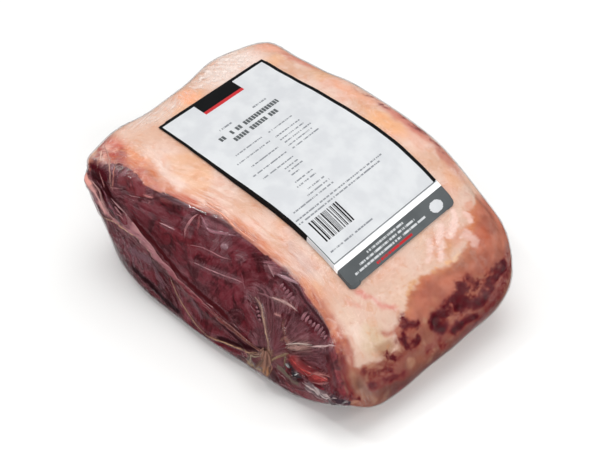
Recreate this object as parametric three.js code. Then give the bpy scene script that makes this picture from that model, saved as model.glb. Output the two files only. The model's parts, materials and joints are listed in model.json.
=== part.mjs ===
// Raw beef striploin joint in a shrunk clear vacuum bag, with a paper label on its fat side.
//
// Frame: millimetres, +Z up, origin at the bottom centre of the pack. +X runs along the joint
// towards the end that the fat wraps round, -Y is the side that was cut through the lean, and
// the joint rests on its flat underside at z = 0.
//
// The sealed pack is one closed solid. A box of quads is bent to a block with rounded edges, a
// crowned top and a leaning cut side, and then the lumps of the meat and the creases, the knot
// and the dog ear of the shrunk bag are raised along its normals. Its vertices carry the two
// colours of the meat. The label is a thin closed sheet that follows the top.

import * as THREE from 'three';
import { mergeVertices } from 'three/addons/utils/BufferGeometryUtils.js';

// ---------------------------------------------------------------- the block, mm

// Reach of each side of the block, how far it bows out, and where along the side, from -1 to
// 1, the bow is fullest.
const REACH = { endX: 127.5, backX: -126, farY: 86.5, cutY: -82 };
const BOW = { endX: 5, backX: 3, farY: 7.5, cutY: 12 };
const BOW_AT = { endX: 0.2, backX: 0.4, farY: -0.5, cutY: -0.2 };

// Rounding of the four upright corners seen from above, along X and Y: at the top, and at the
// foot, where the joint draws in. Between them they change over this share of the height.
const TOP_CORNER = { endFar: [30, 28], endCut: [14, 14], backFar: [18, 18], backCut: [14, 14] };
const FOOT_CORNER = { endFar: [55, 55], endCut: [54, 32], backFar: [30, 26], backCut: [88, 26] };
const CORNER_CHANGES = [0, 0.7];

// Rounding of the top and bottom edges on each side: how far in, and how far down or up.
const TOP_EDGE = { endX: [27, 22], backX: [15, 12], farY: [24, 17], cutY: [5, 3] };
const BASE_EDGE = { endX: [38, 40], backX: [28, 46], farY: [20, 20], cutY: [13, 12] };

// The top: its height on the middle line, its fall per millimetre towards the cut side, which
// is less at the back over the given stretch of X, and how fast it curves down both ways.
const TOP_HEIGHT = 97;
const TOP_SIDE_FALL = 0.12;
const BACK_SIDE_FALL = 0.065;
const FALL_CHANGES = [-105, -15];
const END_DROP = 0.0031;
const BACK_DROP = 0.00015;

// The cut side leans back by this much from its foot to its rim, and bulges a little. The
// lean runs out towards both ends, over these stretches of X.
const CUT_LEAN = 37;
const CUT_LEAN_POWER = 1.25;
const LEAN_STARTS = [-150, 20];
const LEAN_ENDS = [88, 122];

// Grid of the pack along X, Y and Z.
const PACK_GRID = [50, 26, 18];

// ---------------------------------------------------------------- relief of the pack, mm

// Swellings: centre, radius, and how far the skin is pushed out there.
const SWELLINGS = [
  { name: 'fat of the back cut corner', at: [-126, -54, 84], radius: 20, push: [-3, 0, 2] },
  { name: 'roll of fat over the back end', at: [-130, 42, 94], radius: 27, push: [-8, 0, 1] },
  { name: 'dog ear of the bag', at: [-120, -87, 66], radius: 9, push: [-1, -1, 0] },
  { name: 'knot where the creases gather', at: [54, -87, 20], radius: 9, push: [0, -4, 0] },
];

// Creases of the bag: points on the skin, how far they stand out, and their half width.
const CREASES = [
  {
    name: 'seam flap',
    path: [[-118, -86, 68], [-91, -85, 61], [-78, -86, 53], [-47, -85, 42], [-8, -85, 31], [51, -85, 23]],
    height: 3.4,
    halfWidth: 5,
  },
  {
    name: 'fold above the seam flap',
    path: [[-86, -82, 71], [-70, -82, 60], [-50, -82, 51], [-22, -82, 41]],
    height: -1.8,
    halfWidth: 4.5,
  },
  {
    name: 'upright crease to the knot',
    path: [[26, -75, 56], [36, -74, 56], [43, -76, 50], [48, -80, 40], [55, -85, 23]],
    height: 2.2,
    halfWidth: 4,
  },
  {
    name: 'crease below the rim',
    path: [[36, -73, 59], [50, -71, 61], [64, -69, 63], [78, -69, 61]],
    height: 2,
    halfWidth: 4,
  },
  {
    name: 'crease from the knot to the end',
    path: [[56, -83, 27], [67, -78, 39], [83, -74, 46], [100, -70, 54]],
    height: 2,
    halfWidth: 4,
  },
  {
    name: 'loose flap at the foot',
    path: [[51, -85, 21], [71, -83, 23], [88, -82, 21], [100, -82, 23], [115, -83, 28]],
    height: 3,
    halfWidth: 5,
  },
  {
    name: 'crease along the foot',
    path: [[-14, -91, 10], [9, -90, 11], [29, -88, 15], [50, -85, 22]],
    height: 2.5,
    halfWidth: 4.5,
  },
  {
    name: 'seam round the back end',
    path: [[-126, -74, 67], [-132, -40, 66], [-132, 10, 63], [-132, 50, 61], [-122, 84, 57]],
    height: 2.6,
    halfWidth: 5,
  },
  {
    name: 'crease along the far side',
    path: [[-112, 90, 58], [-50, 94, 50], [10, 94, 42], [66, 91, 33], [104, 82, 27]],
    height: 2,
    halfWidth: 5,
  },
];

// Lumps of the meat: waves of this height and these lengths. The skin stays plain close to the
// ground and for this margin round the label.
const LUMP_HEIGHT = 1.1;
const LUMP_LENGTHS = [74, 47, 33];
const GROUND_FADE = [1, 14];
const LABEL_MARGIN = 12;

// ---------------------------------------------------------------- the label, mm

// Cut size, thickness, clearance above the film, middle of its back edge, turn and corners.
const LABEL_LENGTH = 191;
const LABEL_WIDTH = 98;
const LABEL_THICKNESS = 0.4;
const LABEL_GAP = 0.5;
const LABEL_BACK = { x: -103, y: 15.5 };
const LABEL_TURN = THREE.MathUtils.degToRad(-1.2);
const LABEL_CORNER = { endFar: [4, 4], endCut: [4, 4], backFar: [1, 1], backCut: [1, 1] };
const LABEL_GRID = [30, 10, 1];

// ---------------------------------------------------------------- colours

const LEAN = new THREE.Color(0x5a1a24);
const FAT = new THREE.Color(0xe8c2a2);
const PAPER = new THREE.Color(0xe3e5e8);
// Depth of the fat cap below the top: at the rim of the cut side and on the other sides. The
// fat wraps the end beyond this stretch of X, and runs out into lean down to the foot.
const RIM_FAT_DEPTH = 5;
const FAT_DEPTH = 14;
const FAT_END = [96, 114];
const STREAK_HEIGHT = 34;

// ---------------------------------------------------------------- helpers

const smooth = (low, high, value) => THREE.MathUtils.smoothstep(value, low, high);
const { lerp } = THREE.MathUtils;

// Mixes one number per side by where an outline normal points.
function bySide(values, normal, index) {
  const alongX = normal.x > 0 ? values.endX : values.backX;
  const alongY = normal.y > 0 ? values.farY : values.cutY;
  return alongX[index] * normal.x ** 2 + alongY[index] * normal.y ** 2;
}

// The direction of a point of the square from -1 to 1 on its edge, and how far out it lies.
function squareDirection(u, v) {
  const spread = Math.max(Math.abs(u), Math.abs(v));
  return spread > 0 ? { spread, p: u / spread, q: v / spread } : { spread, p: 0, q: 1 };
}

// Takes a point on the edge of that square to a rectangle with rounded corners.
function roundedOutline(p, q, reach, corners) {
  const x = p * (p > 0 ? reach.endX : -reach.backX);
  const y = q * (q > 0 ? reach.farY : -reach.cutY);
  const [radiusX, radiusY] = corners[(x > 0 ? 'end' : 'back') + (y > 0 ? 'Far' : 'Cut')];
  const centreX = x > 0 ? reach.endX - radiusX : reach.backX + radiusX;
  const centreY = y > 0 ? reach.farY - radiusY : reach.cutY + radiusY;
  const across = (x - centreX) / radiusX;
  const along = (y - centreY) / radiusY;
  if (across * x > 0 && along * y > 0) {
    const length = Math.hypot(across, along);
    const offset = new THREE.Vector2(radiusX * across, radiusY * along).divideScalar(length);
    return {
      point: offset.add(new THREE.Vector2(centreX, centreY)),
      normal: new THREE.Vector2(across / radiusX, along / radiusY).normalize(),
    };
  }
  const onX = Math.abs(p) >= Math.abs(q);
  const normal = onX ? new THREE.Vector2(Math.sign(p), 0) : new THREE.Vector2(0, Math.sign(q));
  return { point: new THREE.Vector2(x, y), normal };
}

// Takes a point on the edge of a square corner to the quarter ellipse that rounds it. The
// inset runs inwards from the side, and the drop down from the top or up from the foot.
function roundedEdge(inset, drop, inwards, down) {
  if (inset >= inwards || drop >= down) {
    return { inset, drop };
  }
  const across = 1 - inset / inwards;
  const up = 1 - drop / down;
  const length = Math.hypot(across, up);
  return { inset: inwards * (1 - across / length), drop: down * (1 - up / length) };
}

// A closed grid of quads over a cube, with each point moved by the given function.
function bentBox([alongX, alongY, alongZ], place) {
  const box = new THREE.BoxGeometry(2, 2, 2, alongX, alongY, alongZ);
  box.deleteAttribute('normal');
  box.deleteAttribute('uv');
  const geometry = mergeVertices(box, 1e-4);
  geometry.clearGroups();
  const position = geometry.getAttribute('position');
  for (let i = 0; i < position.count; i += 1) {
    const moved = place(position.getX(i), position.getY(i), position.getZ(i));
    position.setXYZ(i, moved.x, moved.y, moved.z);
  }
  geometry.computeVertexNormals();
  return geometry;
}

// ---------------------------------------------------------------- the block

// Height of the top surface over a point.
function topHeight(x, y) {
  const fall = lerp(BACK_SIDE_FALL, TOP_SIDE_FALL, smooth(...FALL_CHANGES, x));
  return TOP_HEIGHT + fall * y - (x > 0 ? END_DROP : BACK_DROP) * x * x;
}

// Corner radii at a level from 0, the foot, to 1, the top.
function cornersAt(level) {
  const share = smooth(...CORNER_CHANGES, level);
  const radii = (name) => TOP_CORNER[name].map((top, axis) => lerp(FOOT_CORNER[name][axis], top, share));
  return Object.fromEntries(Object.keys(TOP_CORNER).map((name) => [name, radii(name)]));
}

// How far the outline bows out towards one side at a place along it.
function bow(side, out, along) {
  const reach = 1 + Math.abs(BOW_AT[side]);
  return BOW[side] * (1 - ((along - BOW_AT[side]) / reach) ** 2) * out ** 4;
}

// Takes a point on the surface of the cube from -1 to 1 to the surface of the block.
function blockPoint(u, v, w) {
  const { spread, p, q } = squareDirection(u, v);
  const level = (w + 1) / 2;
  const { point, normal } = roundedOutline(p, q, REACH, cornersAt(level));
  point.x += p > 0 ? bow('endX', p, q) : -bow('backX', p, q);
  point.y += q > 0 ? bow('farY', q, p) : -bow('cutY', q, p);

  const support = point.dot(normal);
  const inset = (1 - spread) * support;
  const height = topHeight(point.x * spread, point.y * spread);
  const down = bySide(TOP_EDGE, normal, 1);
  const up = Math.min(bySide(BASE_EDGE, normal, 1), height - down);
  const inFoot = level * height < up;
  const edge = inFoot
    ? roundedEdge(inset, level * height, bySide(BASE_EDGE, normal, 0), up)
    : roundedEdge(inset, (1 - level) * height, bySide(TOP_EDGE, normal, 0), down);
  const z = inFoot ? edge.drop : height - edge.drop;
  point.multiplyScalar(1 - edge.inset / support);

  const towardsCut = smooth(0.1, 1, point.y / REACH.cutY);
  const lean = CUT_LEAN * smooth(...LEAN_STARTS, point.x) * (1 - smooth(...LEAN_ENDS, point.x));
  const leanBack = lean * towardsCut * (z / TOP_HEIGHT) ** CUT_LEAN_POWER;
  return new THREE.Vector3(point.x, point.y + leanBack, z);
}

// ---------------------------------------------------------------- the relief

// Distance from a point to a path of straight stretches.
function distanceToPath(point, path) {
  const stretch = new THREE.Line3();
  const nearest = new THREE.Vector3();
  let best = Infinity;
  for (let i = 1; i < path.length; i += 1) {
    stretch.set(new THREE.Vector3(...path[i - 1]), new THREE.Vector3(...path[i]));
    stretch.closestPointToPoint(point, true, nearest);
    best = Math.min(best, nearest.distanceTo(point));
  }
  return best;
}

// How far all creases together raise the skin at a point.
function creaseHeight(point) {
  let total = 0;
  for (const { path, height, halfWidth } of CREASES) {
    total += height * Math.exp(-((distanceToPath(point, path) / halfWidth) ** 2));
  }
  return total;
}

// Height of the lumps at a point: three slanting waves, laid over each other.
function lumpHeight({ x, y, z }) {
  const turn = 2 * Math.PI;
  const [long, middle, short] = LUMP_LENGTHS;
  const waves = Math.sin((turn * (x + 0.6 * y)) / long)
    + 0.7 * Math.sin((turn * (y - 0.5 * z)) / middle + 1.3)
    + 0.5 * Math.sin((turn * (z + 0.8 * x - 0.4 * y)) / short + 2.1);
  return (LUMP_HEIGHT * waves) / 2.2;
}

// From 0 under the label to 1 beyond its margin. Only the top side lies under the label.
function clearOfLabel(point, normal) {
  const beyondX = Math.max(LABEL_BACK.x - point.x, point.x - LABEL_BACK.x - LABEL_LENGTH, 0);
  const beyondY = Math.max(Math.abs(point.y - LABEL_BACK.y) - LABEL_WIDTH / 2, 0);
  const beyond = smooth(2, LABEL_MARGIN, Math.hypot(beyondX, beyondY));
  return Math.max(beyond, 1 - smooth(0.3, 0.6, normal.z));
}

// Raises creases, lumps and swellings on the block. The flat underside stays as it is.
function raiseRelief(geometry) {
  const position = geometry.getAttribute('position');
  const normals = geometry.getAttribute('normal').clone();
  const point = new THREE.Vector3();
  const normal = new THREE.Vector3();
  for (let i = 0; i < position.count; i += 1) {
    point.fromBufferAttribute(position, i);
    normal.fromBufferAttribute(normals, i);
    const fade = smooth(...GROUND_FADE, point.z) * clearOfLabel(point, normal);
    const moved = point.clone().addScaledVector(normal, fade * (creaseHeight(point) + lumpHeight(point)));
    for (const { at, radius, push } of SWELLINGS) {
      const distance = point.distanceTo(new THREE.Vector3(...at)) / radius;
      moved.addScaledVector(new THREE.Vector3(...push), fade * Math.exp(-distance * distance));
    }
    position.setXYZ(i, moved.x, moved.y, moved.z);
  }
  geometry.computeVertexNormals();
}

// ---------------------------------------------------------------- colours of the meat

// From 0, lean, to 1, fat. The fat covers the top and wraps down the +X end.
function fatShare(point, normal) {
  const depth = topHeight(point.x, point.y) - point.z;
  const capDepth = lerp(FAT_DEPTH, RIM_FAT_DEPTH, smooth(0, 0.5, -normal.y));
  const cap = 1 - smooth(capDepth - 3, capDepth + 2, depth);
  const wrapped = smooth(...FAT_END, point.x) * smooth(0, STREAK_HEIGHT, point.z);
  return Math.max(cap, wrapped);
}

function colourMeat(geometry) {
  const position = geometry.getAttribute('position');
  const normals = geometry.getAttribute('normal');
  const colours = new THREE.BufferAttribute(new Float32Array(position.count * 3), 3);
  const point = new THREE.Vector3();
  const normal = new THREE.Vector3();
  const colour = new THREE.Color();
  for (let i = 0; i < position.count; i += 1) {
    point.fromBufferAttribute(position, i);
    normal.fromBufferAttribute(normals, i);
    colour.lerpColors(LEAN, FAT, fatShare(point, normal));
    colours.setXYZ(i, colour.r, colour.g, colour.b);
  }
  geometry.setAttribute('color', colours);
}

// ---------------------------------------------------------------- the two pieces

function makePack() {
  const geometry = bentBox(PACK_GRID, blockPoint);
  raiseRelief(geometry);
  colourMeat(geometry);
  const film = new THREE.MeshStandardMaterial({ vertexColors: true, roughness: 0.2, metalness: 0 });
  const mesh = new THREE.Mesh(geometry, film);
  mesh.name = 'vacuum_pack';
  return mesh;
}

// X of the place on the label's middle line that lies this far along it from its back edge.
function labelStation(length) {
  const step = 0.5;
  let x = LABEL_BACK.x;
  for (let walked = 0; walked < length; walked += step) {
    const rise = topHeight(x + step, LABEL_BACK.y) - topHeight(x, LABEL_BACK.y);
    x += (step * step) / Math.hypot(step, rise);
  }
  return x;
}

// Takes a point on the surface of the cube from -1 to 1 to the surface of the label.
function labelPoint(u, v, w) {
  const { spread, p, q } = squareDirection(u, v);
  const halfLength = LABEL_LENGTH / 2;
  const halfWidth = LABEL_WIDTH / 2;
  const edges = { endX: halfLength, backX: -halfLength, farY: halfWidth, cutY: -halfWidth };
  const { point } = roundedOutline(p, q, edges, LABEL_CORNER);
  const x = labelStation(halfLength + point.x * spread);
  const y = LABEL_BACK.y + point.y * spread + Math.tan(LABEL_TURN) * (x - LABEL_BACK.x);
  const lift = w > 0 ? LABEL_GAP + LABEL_THICKNESS : LABEL_GAP;
  return new THREE.Vector3(x, y, topHeight(x, y) + lift);
}

function makeLabel() {
  const geometry = bentBox(LABEL_GRID, labelPoint);
  const paper = new THREE.MeshStandardMaterial({ color: PAPER, roughness: 0.45, metalness: 0 });
  const mesh = new THREE.Mesh(geometry, paper);
  mesh.name = 'label';
  return mesh;
}

// ---------------------------------------------------------------- the whole joint

const joint = new THREE.Group();
const pack = makePack();
joint.add(pack, makeLabel());

// The origin is the middle of the pack's underside.
const middle = new THREE.Box3().setFromObject(pack).getCenter(new THREE.Vector3());
joint.position.set(-middle.x, -middle.y, 0);

export default joint;
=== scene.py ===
"""Raw beef striploin joint in a tight clear shrink bag, with a printed paper label on its fat side.

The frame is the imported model's: metres, +Z up, the joint lies along X, its cut side faces -Y and
the fat wraps round its +X end. Sizes in the classes are millimetres and turn to metres by MM.
"""

import json
import logging
import math
import random
from contextlib import contextmanager
from dataclasses import dataclass, field
from enum import Enum
from typing import Any, Iterator, Sequence

import bpy
import numpy as np
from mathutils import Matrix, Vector, noise
from mathutils.bvhtree import BVHTree

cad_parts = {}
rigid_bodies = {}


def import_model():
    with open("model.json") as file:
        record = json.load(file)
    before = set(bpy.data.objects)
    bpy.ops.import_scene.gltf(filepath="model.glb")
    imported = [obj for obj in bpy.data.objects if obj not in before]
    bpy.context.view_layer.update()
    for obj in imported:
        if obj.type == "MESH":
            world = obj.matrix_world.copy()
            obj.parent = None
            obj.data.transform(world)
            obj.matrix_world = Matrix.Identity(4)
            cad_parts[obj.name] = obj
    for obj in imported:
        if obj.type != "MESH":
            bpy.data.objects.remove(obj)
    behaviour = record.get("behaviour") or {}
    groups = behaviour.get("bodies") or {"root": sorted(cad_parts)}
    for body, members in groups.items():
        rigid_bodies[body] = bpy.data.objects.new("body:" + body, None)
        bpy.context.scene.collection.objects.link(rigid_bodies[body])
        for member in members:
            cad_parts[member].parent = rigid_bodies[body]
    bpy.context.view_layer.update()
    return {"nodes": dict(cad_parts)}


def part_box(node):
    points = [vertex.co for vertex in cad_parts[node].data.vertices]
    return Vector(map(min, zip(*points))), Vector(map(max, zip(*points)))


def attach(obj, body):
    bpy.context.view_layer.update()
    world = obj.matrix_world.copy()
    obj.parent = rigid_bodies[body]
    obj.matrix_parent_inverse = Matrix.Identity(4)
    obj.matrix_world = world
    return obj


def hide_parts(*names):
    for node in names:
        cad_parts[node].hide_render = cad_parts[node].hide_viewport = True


log = logging.getLogger("beef_joint")

MM = 0.001
ABOVE = 0.2  # metres, well over the pack: from here its top is looked for, straight down
DOWN = Vector((0, 0, -1))
Point = tuple[float, float, float]
Path = Sequence[Point]
Array = np.ndarray
Piece = bpy.types.Object
Material = bpy.types.Material
NodeTree = bpy.types.NodeTree


# ---------------------------------------------------------------- numbers and colours


def linear(hex_code: str) -> tuple[float, float, float, float]:
    """Turns an sRGB hex colour into linear RGBA.

    Args:
        hex_code: six hex digits, such as "e8c2a2".

    Returns:
        The linear colour with alpha 1.
    """
    parts = [int(hex_code[i : i + 2], 16) / 255 for i in (0, 2, 4)]
    red, green, blue = (p / 12.92 if p <= 0.04045 else ((p + 0.055) / 1.055) ** 2.4 for p in parts)
    return red, green, blue, 1.0


def smooth(low: float, high: float, value: Array) -> Array:
    """Goes smoothly from 0 at low to 1 at high, which may also lie the other way round."""
    share = np.clip((value - low) / (high - low), 0, 1)
    return share * share * (3 - 2 * share)


def noise_at(points: Array, length: float, seed: float = 0.0) -> Array:
    """Smooth noise from -1 to 1.

    Args:
        points: places in mm, one a row.
        length: size of the noise's lumps in mm, or one size for each axis.
        seed: shifts the pattern.

    Returns:
        One value for each place.
    """
    scaled = points / np.asarray(length, float) + seed
    return np.array([noise.noise(Vector(p)) for p in scaled])


def path_distance(points: Array, path: Path) -> tuple[Array, Array]:
    """Measures how far places are from a path of straight stretches.

    Args:
        points: places in mm, one a row.
        path: the path's points in mm.

    Returns:
        For each place its distance, and how far along the path its nearest point is, from 0 to 1.
    """
    corners = np.asarray(path, float)
    lengths = np.linalg.norm(np.diff(corners, axis=0), axis=1)
    walked = np.concatenate([[0], np.cumsum(lengths)])
    best = np.full(len(points), np.inf)
    along = np.zeros(len(points))
    for i, length in enumerate(lengths):
        direction = (corners[i + 1] - corners[i]) / length
        t = np.clip((points - corners[i]) @ direction, 0, length)
        distance = np.linalg.norm(points - corners[i] - t[:, None] * direction, axis=1)
        nearer = distance < best
        best[nearer] = distance[nearer]
        along[nearer] = (walked[i] + t[nearer]) / walked[-1]
    return best, along


def path_side(points: Array, normals: Array, path: Path) -> Array:
    """Measures how far places on a surface are from a path on it, and on which side.

    Args:
        points: places in mm, one a row.
        normals: the surface's normals there.
        path: the path's points in mm.

    Returns:
        The distances, more than 0 to the left of the path as seen from outside.
    """
    corners = np.asarray(path, float)
    best = np.full(len(points), np.inf)
    signed = np.zeros(len(points))
    for start, end in zip(corners, corners[1:]):
        length = np.linalg.norm(end - start)
        direction = (end - start) / length
        t = np.clip((points - start) @ direction, 0, length)
        away = points - start - t[:, None] * direction
        distance = np.linalg.norm(away, axis=1)
        left = np.sign(np.einsum("ij,ij->i", away, np.cross(normals, direction)))
        nearer = distance < best
        best[nearer] = distance[nearer]
        signed[nearer] = (distance * left)[nearer]
    return signed


def resample(path: Path, count: int) -> Array:
    """Spreads points evenly along a smooth curve through a path's points.

    Args:
        path: the points in mm that the curve goes through.
        count: how many points to return.

    Returns:
        The points, one a row.
    """
    corners = np.asarray(path, float)
    if len(corners) > 2:
        ends = np.vstack([2 * corners[0] - corners[1], corners, 2 * corners[-1] - corners[-2]])
        dense = []
        for a, b, c, d in zip(ends, ends[1:], ends[2:], ends[3:]):
            for t in np.linspace(0, 1, 12, endpoint=False):
                dense.append(
                    0.5 * (2 * b + (c - a) * t + (2 * a - 5 * b + 4 * c - d) * t**2
                           + (3 * b - a - 3 * c + d) * t**3)
                )
        corners = np.vstack([dense, corners[-1:]])
    walked = np.concatenate([[0], np.cumsum(np.linalg.norm(np.diff(corners, axis=0), axis=1))])
    places = np.linspace(0, walked[-1], count)
    return np.stack([np.interp(places, walked, corners[:, k]) for k in range(3)], axis=1)


# ---------------------------------------------------------------- working on objects


def only(obj: Piece) -> None:
    """Selects one object alone and makes it active.

    Args:
        obj: the piece.
    """
    bpy.ops.object.select_all(action="DESELECT")
    obj.select_set(True)
    bpy.context.view_layer.objects.active = obj


@contextmanager
def edit_mode(obj: Piece) -> Iterator[None]:
    """Opens an object in edit mode with everything selected, and leaves edit mode at the end.

    Args:
        obj: the piece.

    Returns:
        Nothing to use: it is the body of a with block.
    """
    only(obj)
    bpy.ops.object.mode_set(mode="EDIT")
    bpy.ops.mesh.select_all(action="SELECT")
    yield
    bpy.ops.object.mode_set(mode="OBJECT")


def finish_with(obj: Piece, kind: str, **settings: Any) -> None:
    """Adds a modifier and applies it.

    Args:
        obj: the piece.
        kind: Blender's name for the modifier, such as "SUBSURF".
        settings: the modifier's settings.
    """
    only(obj)
    modifier = obj.modifiers.new(kind.title(), kind)
    for name, value in settings.items():
        setattr(modifier, name, value)
    bpy.ops.object.modifier_apply(modifier=modifier.name)


def subdivide(obj: Piece, levels: int) -> None:
    """Rounds a piece off with a subdivision surface of this many levels."""
    if levels:
        finish_with(obj, "SUBSURF", levels=levels, render_levels=levels)


def places_of(obj: Piece) -> Array:
    """Reads where the vertices of a mesh are.

    Args:
        obj: the piece.

    Returns:
        Their places in mm, one a row.
    """
    flat = np.empty(len(obj.data.vertices) * 3)
    obj.data.vertices.foreach_get("co", flat)
    return flat.reshape(-1, 3) / MM


def normals_of(obj: Piece) -> Array:
    """Reads the vertex normals of a mesh.

    Args:
        obj: the piece.

    Returns:
        The normals, one a row.
    """
    flat = np.empty(len(obj.data.vertices) * 3)
    obj.data.vertex_normals.foreach_get("vector", flat)
    return flat.reshape(-1, 3)


def move_to(obj: Piece, places: Array) -> None:
    """Puts the vertices of a mesh at these places in mm."""
    obj.data.vertices.foreach_set("co", (places * MM).ravel())
    obj.data.update()


def set_numbers(obj: Piece, name: str, values: Array) -> None:
    """Stores one number for each vertex as an attribute that materials can read."""
    attribute = obj.data.attributes.new(name, "FLOAT", "POINT")
    attribute.data.foreach_set("value", np.asarray(values, np.float32))


def set_places(obj: Piece, name: str, places: Array) -> None:
    """Stores one set of three coordinates for each vertex as an attribute that materials can read."""
    attribute = obj.data.attributes.new(name, "FLOAT_VECTOR", "POINT")
    attribute.data.foreach_set("vector", places.astype(np.float32).ravel())


def set_colours(obj: Piece, name: str, colours: Array) -> None:
    """Stores one colour for each vertex as an attribute that materials can read.

    Args:
        obj: the piece.
        name: the attribute's name.
        colours: linear red, green and blue, one row for each vertex.
    """
    attribute = obj.data.color_attributes.new(name, "FLOAT_COLOR", "POINT")
    rgba = np.hstack([colours, np.ones((len(colours), 1))])
    attribute.data.foreach_set("color", rgba.astype(np.float32).ravel())


def joined(name: str, parts: list[Piece]) -> Piece:
    """Joins several meshes into one piece.

    Args:
        name: the piece's name.
        parts: the meshes, which are used up.

    Returns:
        The joined piece.
    """
    only(parts[0])
    for part in parts:
        part.select_set(True)
    bpy.ops.object.join()
    parts[0].name = name
    parts[0].data.name = name
    return parts[0]


def flat_grid(name: str, along: int, across: int) -> tuple[Piece, Array, Array, Array]:
    """Adds a flat grid that is then bent into a sheet or a ribbon.

    Args:
        name: the piece's name.
        along: how many cells it has along.
        across: how many cells it has across.

    Returns:
        The grid, and for each vertex its column, its row and its place across from -1 to 1.
    """
    bpy.ops.mesh.primitive_grid_add(x_subdivisions=along, y_subdivisions=across, size=2)
    grid = bpy.context.object
    grid.name = grid.data.name = name
    flat = places_of(grid) * MM
    column = np.rint((flat[:, 0] + 1) / 2 * along).astype(int)
    row = np.rint((flat[:, 1] + 1) / 2 * across).astype(int)
    return grid, column, row, flat[:, 1]


def dress_smooth(obj: Piece, material: Material) -> None:
    """Shades a piece smooth and gives it one material.

    Args:
        obj: the piece.
        material: its finish.
    """
    only(obj)
    bpy.ops.object.shade_smooth()
    obj.data.materials.clear()
    obj.data.materials.append(material)


def height_under(tree: BVHTree, x: float, y: float) -> float:
    """Height in mm of what a search tree holds at a place in metres, or 0 where it holds nothing."""
    hit = tree.ray_cast(Vector((x, y, ABOVE)), DOWN)
    return hit[0].z / MM if hit[0] else 0.0


# ---------------------------------------------------------------- materials


def add_node(tree: NodeTree, kind: str, links: dict | None = None, **settings: Any) -> Any:
    """Adds a node with its settings and links.

    Args:
        tree: the material's node tree.
        kind: the node's type without "ShaderNode", such as "Math".
        links: input name or number to a value, or to the output socket that feeds it.
        settings: the node's own properties.

    Returns:
        The new node.
    """
    node = tree.nodes.new("ShaderNode" + kind)
    for name, value in settings.items():
        setattr(node, name, value)
    for key, value in (links or {}).items():
        if isinstance(value, bpy.types.NodeSocket):
            tree.links.new(value, node.inputs[key])
        else:
            node.inputs[key].default_value = value
    return node


def new_material(name: str) -> tuple[Material, NodeTree, Any]:
    """Starts an empty node material.

    Args:
        name: the real material and how it was made.

    Returns:
        The material, its tree and its output node.
    """
    material = bpy.data.materials.new(name)
    material.use_nodes = True
    material.node_tree.nodes.clear()
    return material, material.node_tree, add_node(material.node_tree, "OutputMaterial")


def scaled_noise(tree: NodeTree, size_mm: Any, detail: float = 3.0, warp: float = 0.0,
                 drawn: bool = False) -> Any:
    """Adds a noise pattern on object coordinates, or along the streaks that the mesh gives.

    Args:
        tree: the material's node tree.
        size_mm: size of the pattern's lumps, or one size for each axis.
        detail: how many finer layers lie on it.
        warp: how far the pattern is pulled about.
        drawn: whether the pattern follows the mesh's attribute "drawn", in mm along and across.

    Returns:
        The noise's value as an output socket, from 0 to 1.
    """
    if drawn:
        place, unit = from_mesh(tree, "drawn", "Vector"), 1.0
    else:
        place, unit = add_node(tree, "TexCoord").outputs["Object"], MM
    sizes = size_mm if isinstance(size_mm, tuple) else (size_mm,) * 3
    mapped = add_node(tree, "Mapping", {"Vector": place, "Scale": tuple(1 / (s * unit) for s in sizes)})
    links = {"Vector": mapped.outputs[0], "Scale": 1.0, "Detail": detail, "Distortion": warp}
    return add_node(tree, "TexNoise", links).outputs[0]


def maths(tree: NodeTree, operation: str, *values: Any, clamp: bool = False) -> Any:
    """Adds a math node on sockets or numbers and returns its output socket."""
    return add_node(tree, "Math", dict(enumerate(values)), operation=operation, use_clamp=clamp).outputs[0]


def ramp_between(tree: NodeTree, value: Any, low: float, high: float) -> Any:
    """Adds a smooth step of a value from 0 at low to 1 at high and returns its output socket."""
    links = {"Value": value, "From Min": low, "From Max": high}
    return add_node(tree, "MapRange", links, interpolation_type="SMOOTHSTEP").outputs[0]


def blended(tree: NodeTree, share: Any, first: Any, second: Any, mode: str = "MIX") -> Any:
    """Adds a colour mix and returns its output socket."""
    links = {"Factor": share, 6: first, 7: second}
    return add_node(tree, "Mix", links, data_type="RGBA", blend_type=mode).outputs[2]


def from_mesh(tree: NodeTree, name: str, output: str = "Fac") -> Any:
    """Adds what the mesh says under this name and returns its output socket."""
    return add_node(tree, "Attribute", attribute_name=name).outputs[output]


def share_of(tree: NodeTree, value: Any, low: float, high: float, strength: float) -> Any:
    """Adds a smooth step of a value, times a strength, and returns its output socket."""
    return maths(tree, "MULTIPLY", ramp_between(tree, value, low, high), strength)


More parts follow.
